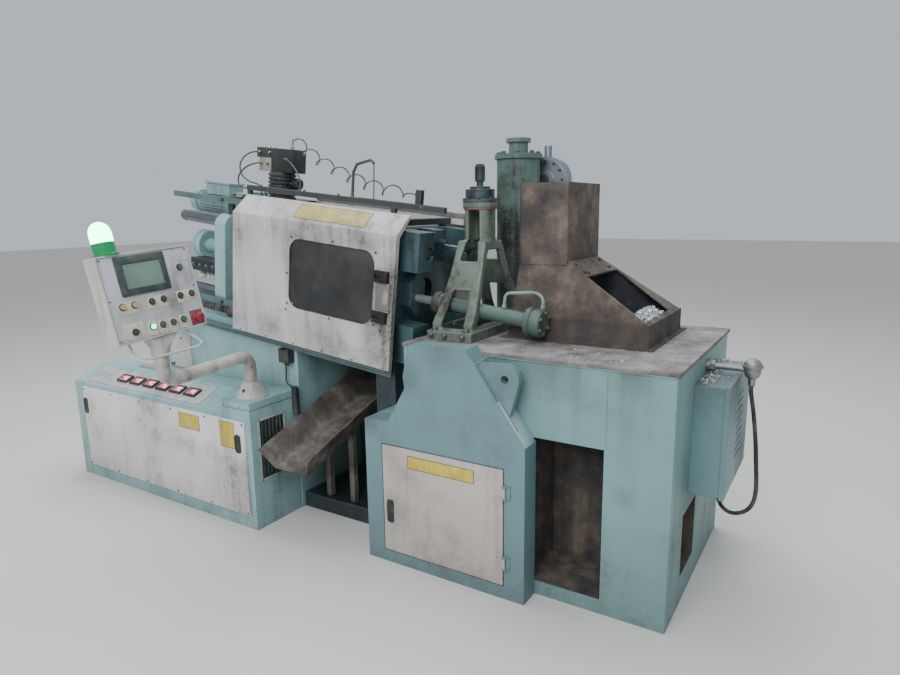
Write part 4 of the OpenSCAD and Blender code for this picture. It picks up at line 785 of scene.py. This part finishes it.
new_piece("valve_ports_block", stack(
    [(94, 80, 2, W0 + 150), (98, 84, 3, W0 + 152), (98, 84, 3, W0 + 217), (94, 80, 2, W0 + 220)], (V0 - 87, 0)),
    worn_enamel("beige_valve_enamel", "#a8a596", dirt="#4a463e", dirty=0.6, chipped=0.3), "platen_paint",
    node="valve_block", **AXIS)
new_piece("valve_pilot", stack(
    [(142, 64, 2, W0 + 220), (146, 68, 3, W0 + 222), (146, 68, 3, W0 + 270), (142, 64, 2, W0 + 273)], (V0 - 91, 0)),
    rail_dark, "dark_steel", node="valve_block", **AXIS)
nickel = machined_steel("nickel_plated_brass", "#c9c6bd", 0.22)
new_piece("valve_fittings", joined(
    *(lathe([(W0 + 272, 7), (W0 + 281, 7), (W0 + 283, 5.6), (W0 + 289, 5.6)], 2, (V0 + x, 0, 0), 14)
      for x in (-140, -100, -60)),
    lathe([(W0 + 271, 10), (W0 + 288, 10), (W0 + 290, 8), (W0 + 296, 8)], 2, (V0 + 100, -30, 0), 18),
    *(lathe([(-56, 5.5), (-50, 7), (-33, 7)], 1, (u, 0, w), 12) for u, w in ((-810, 586), (-730, 586))),
    *(lathe([(-58, 5.5), (-52, 7), (-41, 7)], 1, (u, 0, w), 12) for u, w in ((-792, 528), (-746, 528))),
    lathe([(-56, 5.5), (-54, 7), (-49, 7)], 1, (-600, 0, 560), 12)), nickel, "chrome", node="valve_block", **AXIS)


# The safety door: 4 mm sheet folded over the top, off-white, smudged round its handle and under its window. Its window
# is a dark pane behind a rubber lip, and small black screws hold the pane, the plates and the latches.
door_white = worn_enamel("smudged_door_enamel", "#cdcac7", dirt="#5f5a54", dirty=0.6, chipped=-0.1, low_grime=0.0,
                         soiled_at=((-190, -350, 1440, 230, 0.42), (60, -350, 1420, 210, 0.36),
                                    (300, -350, 1190, 190, 0.6), (330, -350, 980, 200, 0.5),
                                    (-560, -350, 1430, 160, 0.25), (-100, -350, 955, 220, 0.35)))
dress(door_white, "safety_door")
dress(off_white, "rear_guard")
dress(moulded("smoked_polycarbonate", "#2b2c2f", 0.13, dust="#595548", dusty=0.3, relief=0.02, cloud_mm=420),
      "door_window")
latch_black = moulded("black_latch_plastic", "#0b0c0d", 0.42, dusty=0.05)
dress(latch_black, "door_latches")
DOOR = {"body": "safety_door", "origin": (0, -350, 1200), "across": AXIS["across"],
        "up": (math.sin(SLOPE), 0, math.cos(SLOPE))}
lip_points, lip_faces = stack([(512, 332, 60, -4), (520, 340, 65, 0), (518, 338, 65, 2.2), (512, 332, 60, 2.2),
                               (510, 330, 60, 1), (510, 330, 60, -3.8)], (-7, 32), 12)
new_piece("window_lip", (lip_points, lip_faces[:-2]), rubber, "black_rubber", **DOOR)
new_piece("door_screws", joined(
    copies(screw_head(11), [(u, w, 0) for u, w in (
        (-255, 206), (-280, 27), (-277, -122), (-284, -154), (-1, -149), (5, 215), (256, 198), (262, -128),
        (302, -151))]),
    copies(screw_head(9), [(u, -319, 0) for u in (-610, -420, -230, -40, 150, 330)]),
    copies(screw_head(8), [(u, w, 22) for u in (272, 331) for w in (-101, -65, 80, 116)])),
    latch_black, "dark_steel", **DOOR)
new_piece("door_edge_studs", copies(screw_head(8), [(352, w, 0) for w in (264, -102, 80)]), arm_white,
          "white_paint", **DOOR)
new_piece("door_grip_plate", plate(70, 118, 1.6, 6, 0.5, (313, 8), 14),
          worn_enamel("worn_latch_plate", "#b7b0a6", dirt="#4a4136", dirty=0.9, chipped=0.8,
                      soiled_at=((270, -360, 1180, 120, 0.6),)), "bar_steel", **DOOR)
# The plate lies on the fold over the door's top, which goes back 95 mm as it rises 88.
LEAN = math.atan2(95, 88)
ON_FOLD = {**DOOR, "origin": tuple(on_axis([(0, -350, 283)])[0] * 1000),
           "up": tuple(math.sin(LEAN) * np.array([0, 1, 0]) + math.cos(LEAN) * np.array(DOOR["up"]))}
name_plate("door_plate", 440, 92, (-48, 66), worn_enamel(
    "faded_yellow_enamel", "#cdbc74", dirt="#5f5440", dirty=0.5, blotch_mm=90, chipped=-0.8), **ON_FOLD)


# The furnace: a welded box round the pot, teal outside. Its top plate is scorched and splashed with zinc, and its open
# recess and end port are lined with plate that soot and rust have turned brown.
furnace_teal = worn_enamel("heat_dulled_teal_enamel", "#78a09f", dirt="#4a4a43", dirty=0.24, chipped=0.1,
                           low_grime=0.5, soiled_at=((1450, -400, 985, 140, 0.3), (1150, -400, 975, 170, 0.34),
                                                     (930, -400, 900, 230, 0.3), (1430, -400, 500, 60, 0.25),
                                                     (1600, -120, 420, 330, 0.4)))
dress(furnace_teal, "furnace_body")
scorched = rusty_steel("scorched_top_plate", "#857f7c", "#a9a3a0", "#4f4a47", 130, splash="#dcdcdc", splashed=0.45,
                       low=0.972)
dress(scorched, "furnace_top")
sooty = rusty_steel("sooty_lining_plate", "#4d4742", "#75685a", "#2a2a2f", 120,
                    burnt_at=((1200, -260, 700, 330, 0.9), (1400, -130, 500, 260, 0.5)))


def lining(x0, x1, y0, y1, z0, z1, open_side):
    """The inside of a box, open at one side: each wall is one face that looks in."""
    corners = np.array([(x, y, z) for x in (x0, x1) for y in (y0, y1) for z in (z0, z1)], float)
    walls = {"-x": (0, 2, 3, 1), "+x": (4, 5, 7, 6), "-y": (0, 1, 5, 4), "+y": (2, 6, 7, 3), "-z": (0, 4, 6, 2),
             "+z": (1, 3, 7, 5)}
    return corners, [face for name, face in walls.items() if name != open_side]


new_piece("recess_lining", lining(1042, 1348, -399.5, -122, 62, 668, "-y"), sooty, "rust")
new_piece("port_lining", lining(1422, 1599.5, -188, 38, 122, 378, "+x"), sooty, "rust")
zinc = machined_steel("splashed_zinc", "#d3d4d4", 0.5, grain_mm=6, metallic=0.4)
bright_zinc = machined_steel("loose_zinc_dross", "#cfd2d4", 0.4, grain_mm=6, metallic=0.7, film=0.7)


def crumbs(places, smallest, largest, seed):
    """Crumbs of metal at given places: a six-point lump, turned at random, flattened and stretched at random, and
    sized between the smallest and largest with few large ones."""
    rng = np.random.default_rng(seed)
    count = len(places)
    turns = np.linalg.qr(rng.normal(size=(count, 3, 3)))[0]
    turns *= np.sign(np.linalg.det(turns))[:, None, None]
    turns = rng.uniform(0.35, 1, (count, 3, 1)) * turns
    lump = (np.array([(1, 0, 0), (-1, 0, 0), (0, 1, 0), (0, -1, 0), (0, 0, 1), (0, 0, -1)], float),
            [(0, 2, 4), (2, 1, 4), (1, 3, 4), (3, 0, 4), (2, 0, 5), (1, 2, 5), (3, 1, 5), (0, 3, 5)])
    return copies(lump, places, smallest + (largest - smallest) * rng.uniform(0, 1, count) ** 3, turns)


rng = np.random.default_rng(7)
new_piece("top_plate_splashes", joined(
    crumbs(rng.uniform((1100, -390, 990), (1600, -110, 991), (150, 3)), 1.2, 8, 3),
    crumbs(rng.uniform((840, -390, 990), (1100, -120, 991), (50, 3)), 1, 6, 4),
    crumbs(rng.uniform((1440, -390, 990), (1600, 500, 991), (60, 3)), 1.2, 9, 5),
    crumbs(rng.normal((1180, -360, 990.5), (70, 14, 0.3), (60, 3)), 1.5, 9, 6),
    crumbs(rng.normal((1440, -330, 990.5), (60, 22, 0.3), (40, 3)), 1.5, 11, 8)), zinc, "cast_silver", sharp=20)
new_piece("furnace_welds", joined(
    bead((452, -401, 973), (1600, -401, 973), 3), bead((1601, -396, 973), (1601, 575, 973), 3),
    bead((1356, -400.5, 676), (1356, -400.5, 972), 1.6, 20)), furnace_teal, "furnace_paint")
dress(rusty_steel("pot_cast_iron", "#3d3733", "#5c5048", "#211d1b", 60), "crucible")


# The fume hood: 2 mm steel sheet, brown and olive with rust and heat, lapped above the slope and bolted there. Dross
# is heaped in its mouth, and it stands on a flange.
hood_rust = rusty_steel("heat_rusted_sheet", "#584f47", "#7d7263", "#353032", 110, splash="#9a9084", splashed=0.1,
                        low=1.085, streaky=0.15,
                        burnt_at=((850, -80, 1500, 130, 0.8), (850, -80, 1340, 90, 0.5), (1062, 60, 1330, 80, 0.5)))
dress(hood_rust, "hood")
new_piece("hood_lap", joined(*(bead(start, end, radius, ripple) for start, end, radius, ripple in (
    ((850, -81.5, 1319), (1062, -81.5, 1319), 2.2, 24), ((1063.5, -80, 1326), (1063.5, 300, 1326), 2.4, 22),
    ((848.5, -81, 1325), (848.5, -81, 1653), 1.8, 30), ((1062.5, -80.5, 1336), (1062.5, -80.5, 1653), 1.8, 30),
    ((790, -82, 997), (1410, -82, 997), 3, 9), ((1412.5, -80, 997), (1412.5, 455, 997), 3, 9)))), hood_rust, "rust")
SLOPE_TOP, SLOPE_FOOT = (1062, 1331), (1402, 1090)
HOOD_SLOPE = math.atan2(SLOPE_TOP[1] - SLOPE_FOOT[1], SLOPE_FOOT[0] - SLOPE_TOP[0])
down = np.array([math.cos(HOOD_SLOPE), 0, -math.sin(HOOD_SLOPE)])
out = np.array([math.sin(HOOD_SLOPE), 0, math.cos(HOOD_SLOPE)])
new_piece("hood_bolts", copies(hex_head(12), [
    np.array([SLOPE_TOP[0], y, SLOPE_TOP[1]]) + down * s + out * 5
    for s, y in ((80, -60), (86, -28), (84, 240), (30, -58), (30, 240))], turns=facing(out)), dark_steel,
    "dark_steel")


def heap(x, y):
    """The dross heap's height: a floor plus a hump that rises with the power 1.3 towards the mouth's low end and falls
    off as a bell curve across it, with sine ripples, kept 14 mm under the hood's slope."""
    level, hump, gap = 1003, 130, 14
    rise = np.clip((x - 1205) / 140, 0, 1) ** 1.3 * np.exp(-(np.maximum(y - 190, 0) / 110) ** 2)
    slope = SLOPE_TOP[1] - (x - SLOPE_TOP[0]) * math.tan(HOOD_SLOPE)
    return np.minimum(level + hump * rise + 5 * np.sin(x / 13) * np.sin(y / 17 + x / 31), slope - gap)


# The inside of the mouth: the same sheet, black with soot.
side_wall = [(1070, 1004), (1405, 1004), (1405, 1083), (1066, 1322)]
back = [(x, 294 + 0.46 * (x - 1066), z) for x, z in side_wall]
corners = np.array([(x, -75.4, z) for x, z in side_wall] + back, float)
new_piece("mouth_lining", (corners, [(3, 2, 1, 0), (4, 5, 6, 7), (1, 2, 6, 5), (0, 1, 5, 4)]),
          rusty_steel("sooty_hood_sheet", "#2c2c33", "#44434a", "#1b1b20", 90), "rust")
xs, ys = np.linspace(1180, 1404, 24), np.linspace(-74, 300, 40)
rings = [[(x, -74, 1000), (x, 300, 1000)] + [(x, y, heap(x, y)) for y in ys[::-1]] for x in xs]
spread = np.random.default_rng(9).uniform((1235, -68, -1), (1397, 330, 7), (1150, 3))
spread[:, 2] += heap(spread[:, 0], spread[:, 1])
new_piece("mouth_dross", loft(rings), sooty, "rust", sharp=20)
new_piece("mouth_dross_crumbs", crumbs(spread, 5, 17, 11), bright_zinc, "cast_silver", sharp=20)


# The pedestal with the tool cabinet: heavy plate in teal, with a lifting eye welded to its slope and a door whose pull
# is a slot with a black liner. A bare yellow plate sits at the door's top.
pedestal_teal = worn_enamel("pedestal_teal_enamel", "#698e94", dirty=0.26, low_grime=0.5, chipped=0.2,
                            soiled_at=((700, -500, 1010, 130, 0.35), (500, -500, 880, 120, 0.3),
                                       (1000, -470, 900, 110, 0.25), (310, -500, 640, 80, 0.4)))
dress(pedestal_teal, "pedestal")
tool_white = worn_enamel("tool_door_enamel", "#c6bbb4", dirt="#5a544e", dirty=0.35, chipped=0.0,
                         soiled_at=((455, -502, 250, 110, 0.3), (520, -502, 440, 110, 0.22)))
dress(tool_white, "tool_door")
ON_TOOL_DOOR = {"body": "tool_door", "origin": (0, -502, 0), "up": (0, 0, 1)}
new_piece("tool_door_pull", stack(
    [(38, 109, 16, 0), (38, 109, 16, 1), (36, 107, 15, 1.4), (31, 102, 14, 1.2), (29, 100, 13, -9)], (429, 247.5)),
    black_plastic, "black_plastic", **ON_TOOL_DOOR)
name_plate("tool_door_plate", 326, 58, (691, 495), **ON_TOOL_DOOR)
new_piece("pedestal_welds", joined(
    bead((940, -481, 845), (1035, -481, 714), 4), bead((858, -481, 958), (900, -481, 990), 4)),
    pedestal_teal, "furnace_paint")
new_piece("pedestal_slope_strip", plate(205, 94, 1.4, 2, 0.5),
          worn_enamel("pale_strip_enamel", "#a9c6c8", dirty=0.4, chipped=-0.8), "furnace_paint",
          origin=(1016, -451, 738.5), across=(260, 0, -360))


# The yoke over the pot: an iron casting with rounded edges, pale green, bolted through its foot. Along its ribs and
# edges it is pale yellow, partly primer rubbed bare and partly painted highlight. A red ring marks the top of its neck.
def casting(name, node, voxel, rounds, material):
    """A cast copy of a CAD node: merged, remeshed at the voxel size and smoothed, so that its edges are round."""
    mesh = nodes[node].data.copy()
    work = bmesh.new()
    work.from_mesh(mesh)
    bmesh.ops.remove_doubles(work, verts=work.verts, dist=1e-5)
    work.to_mesh(mesh)
    work.free()
    piece = new_object(name, mesh)
    remesh = piece.modifiers.new("skin", "REMESH")
    remesh.mode, remesh.voxel_size, remesh.use_smooth_shade = "VOXEL", voxel, True
    smooth = piece.modifiers.new("round", "SMOOTH")
    smooth.factor, smooth.iterations = 0.5, rounds
    piece.data = bpy.data.meshes.new_from_object(piece.evaluated_get(bpy.context.evaluated_depsgraph_get()))
    piece.modifiers.clear()
    piece.data.materials.clear()
    piece.data.materials.append(material)
    piece.data.name = name
    return piece


YOKE_X = 608
# Darker round its foot, and darker inside behind its legs, which is painted shade.
yoke_green_wear_and_painted_light = worn_enamel("pale_green_casting_painted_light", "#6f7c70", dirt="#33342c", bare="#9a9370", blotch_mm=150,
                         dirty=0.9, chipped=1.0,
                         soiled_at=((YOKE_X, -260, 1030, 190, 0.25), (560, -120, 1180, 160, 0.5)))
fit(casting("yoke_casting", "yoke", 0.0045, 5, yoke_green_wear_and_painted_light), "yoke")
new_piece("yoke_bolts", joined(
    copies(hex_head(19), [(YOKE_X + x, y * 272, 1031) for x in (-80, 80) for y in (-1, -0.4, 0.4, 1)]),
    copies(hex_head(19), [(YOKE_X + x, -287, 1012) for x in (-88, -20, 70)], turns=TO_FRONT)),
    machined_steel("dull_bolt_steel", "#8d918f", 0.45, film=0.6), "yoke_paint")
new_piece("neck_ring", lathe([(1548, 68), (1549, 74), (1555, 76.5), (1558, 70)], 2, (YOKE_X, 0, 0)),
          worn_enamel("faded_red_enamel", "#9c5f63", dirty=0.5), "yoke_paint")


# The shot cylinder on the yoke's neck, a turned head with its knob, and the carriage cylinder along the machine with
# its chromed rod, its grimy gland, its bolted end and the bent pipe over it.
# Its dark teal holds painted shade as well as oil.
dress(platen_teal_oil_and_painted_shade, "shot_cylinder")
new_piece("shot_cylinder_bolts", copies(hex_head(11), circle(8, 73, (YOKE_X, 0, 1592), first=math.pi / 8)),
          dark_steel, "dark_steel")
CARRIAGE_Y = -150
CARRIAGE = {"centre": (0, CARRIAGE_Y, -12), "sides": 44}
new_piece("carriage_rod", lathe([(330, 18), (332, 20), (453, 20)], 0, **CARRIAGE), chrome, "chrome",
          node="carriage_cylinder", **AXIS)
new_piece("carriage_gland", lathe(
    [(453, 31), (455, 34), (467, 49), (470, 50), (493, 50), (495, 44), (510, 42)], 0, **CARRIAGE),
    worn_enamel("grimy_gland_paint", "#5f5f55", dirt="#26251f", dirty=0.9, chipped=0.5), "yoke_paint",
    node="carriage_cylinder", **AXIS)
carriage_green = worn_enamel("oily_green_enamel", "#536a62", dirt="#2f342f", dirty=0.9, chipped=0.5)
new_piece("carriage_barrel", lathe(
    [(510, 33), (925, 33), (926, 58), (930, 62), (949, 62), (953, 56), (959, 56), (963, 62), (995, 62), (1000, 57),
     (1000, 0.5)], 0, **CARRIAGE), carriage_green, "platen_paint", node="carriage_cylinder", **AXIS)
new_piece("carriage_bolts", copies(hex_head(13), circle(6, 46, (999.5, CARRIAGE_Y, -12), 0, math.pi / 6),
                                   turns=facing((1, 0, 0))), carriage_green, "platen_paint",
          node="carriage_cylinder", **AXIS)
pipe_line = through([(810, 21), (810, 66), (815, 80), (828, 89), (880, 99), (930, 109), (955, 109), (975, 100),
                     (985, 84), (987, 68), (987, 50)], 6)
new_piece("carriage_pipe", joined(
    tube(np.stack([pipe_line[:, 0], np.full(len(pipe_line), float(CARRIAGE_Y)), pipe_line[:, 1]], 1), 7, 16),
    lathe([(22, 11), (38, 11), (40, 8)], 2, (810, CARRIAGE_Y, 0), 6),
    lathe([(50.4, 11), (64, 11), (66, 8)], 2, (987, CARRIAGE_Y, 0), 6)),
    worn_enamel("green_pipe_paint", "#84a398", dirty=0.5, chipped=0.5), "pipe_steel", node="hydraulic_pipes", **AXIS)


# Behind the yoke: the accumulator's welded shell with its bolted flange, and the small fume fan of galvanised sheet on
# its post.
# The shell is dark, a little darker round its flange, and darker still round its lower body: painted shadow where it
# stands between the yoke and the hood.
dress(worn_enamel("shell_enamel_painted_shadow", "#5f7c74", dirt="#2a2824", dirty=0.9, chipped=0.4, soiled_at=(
    (560, 290, 1280, 480, 0.6), (660, 300, 1790, 150, 0.3))), "accumulator")
new_piece("accumulator_bolts", copies(hex_head(19), circle(8, 97, (605, 397, 1813), first=math.pi / 8)), dark_steel,
          "dark_steel")
FAN_X, FAN_Z = 700, 1690
dress(machined_steel("dull_galvanised_sheet", "#9aa3a8", 0.42, film=0.7), "blower")
new_piece("blower_hub", joined(
    lathe([(496, 14), (497, 28), (500, 30)], 1, (FAN_X, 0, FAN_Z)),
    copies(hex_head(9), circle(12, 92, (FAN_X, 509, FAN_Z), 1), turns=TO_FRONT)), dark_steel, "dark_steel")


# The electrical box on the furnace's end: teal sheet with a lipped and louvred cover, two quarter-turn locks and
# crumbs of zinc on its top. The thermocouple over it has a cast aluminium head.
box_teal = worn_enamel("box_teal_enamel", "#678a8e", dirty=0.35, chipped=0.2,
                       soiled_at=((1660, 0, 885, 190, 0.5), (1730, 250, 520, 170, 0.4)))
dress(box_teal, "electrical_box", "box_cover")
dress(machined_steel("cast_aluminium", "#a3a4a2", 0.5, grain_mm=2, film=0.7), "thermocouple")
new_piece("box_locks", joined(*(
    lathe([(1728, 11), (1729.4, 11), (1729.8, 9), (1729.8, 0.5)], 0, (0, -106, z), 18) for z in (510, 825))),
    dark_steel, "dark_steel")
louvre = stack([(130, 16, 4, 0), (128, 14, 4, 3), (122, 7, 3, 6)], [(0, 0), (0, 1), (0, 4)])
new_piece("box_cover_louvres", copies(louvre, [(150, z, 0) for z in range(545, 806, 32)]), box_teal, "furnace_paint",
          origin=(1728, 0, 0), across=(0, 1, 0), up=(0, 0, 1))
new_piece("box_litter", joined(
    crumbs(rng.uniform((1604, -110, 886), (1660, 380, 892), (160, 3)), 2, 12, 21),
    crumbs(rng.uniform((1640, -110, 885), (1712, 380, 886), (110, 3)), 1.2, 7, 22)), zinc, "cast_silver", sharp=20)
HEAD_X, HEAD_Y = 1770, 115
new_piece("thermocouple_screws", joined(
    copies(screw_head(7), [(HEAD_X + 33 * math.cos(a), HEAD_Y + 33 * math.sin(a), 930) for a in (0.6, 3.74)]),
    lathe([(848, 12), (852, 13), (862, 13), (864, 11)], 2, (HEAD_X, HEAD_Y, 0), 6)), dark_steel, "dark_steel")


# The limit switch on the bed's front: a black moulded case with its lead in a boot, and a lid with two screws.
dress(black_plastic, "limit_switch")
new_piece("limit_switch_lid", joined(
    plate(64, 58, 2.4, 5, 0.8, (-378, 823)), copies(screw_head(6), [(-402, 844, 2), (-354, 802, 2)])),
    dark_steel, "dark_steel", origin=(0, -310, 0), up=(0, 0, 1))
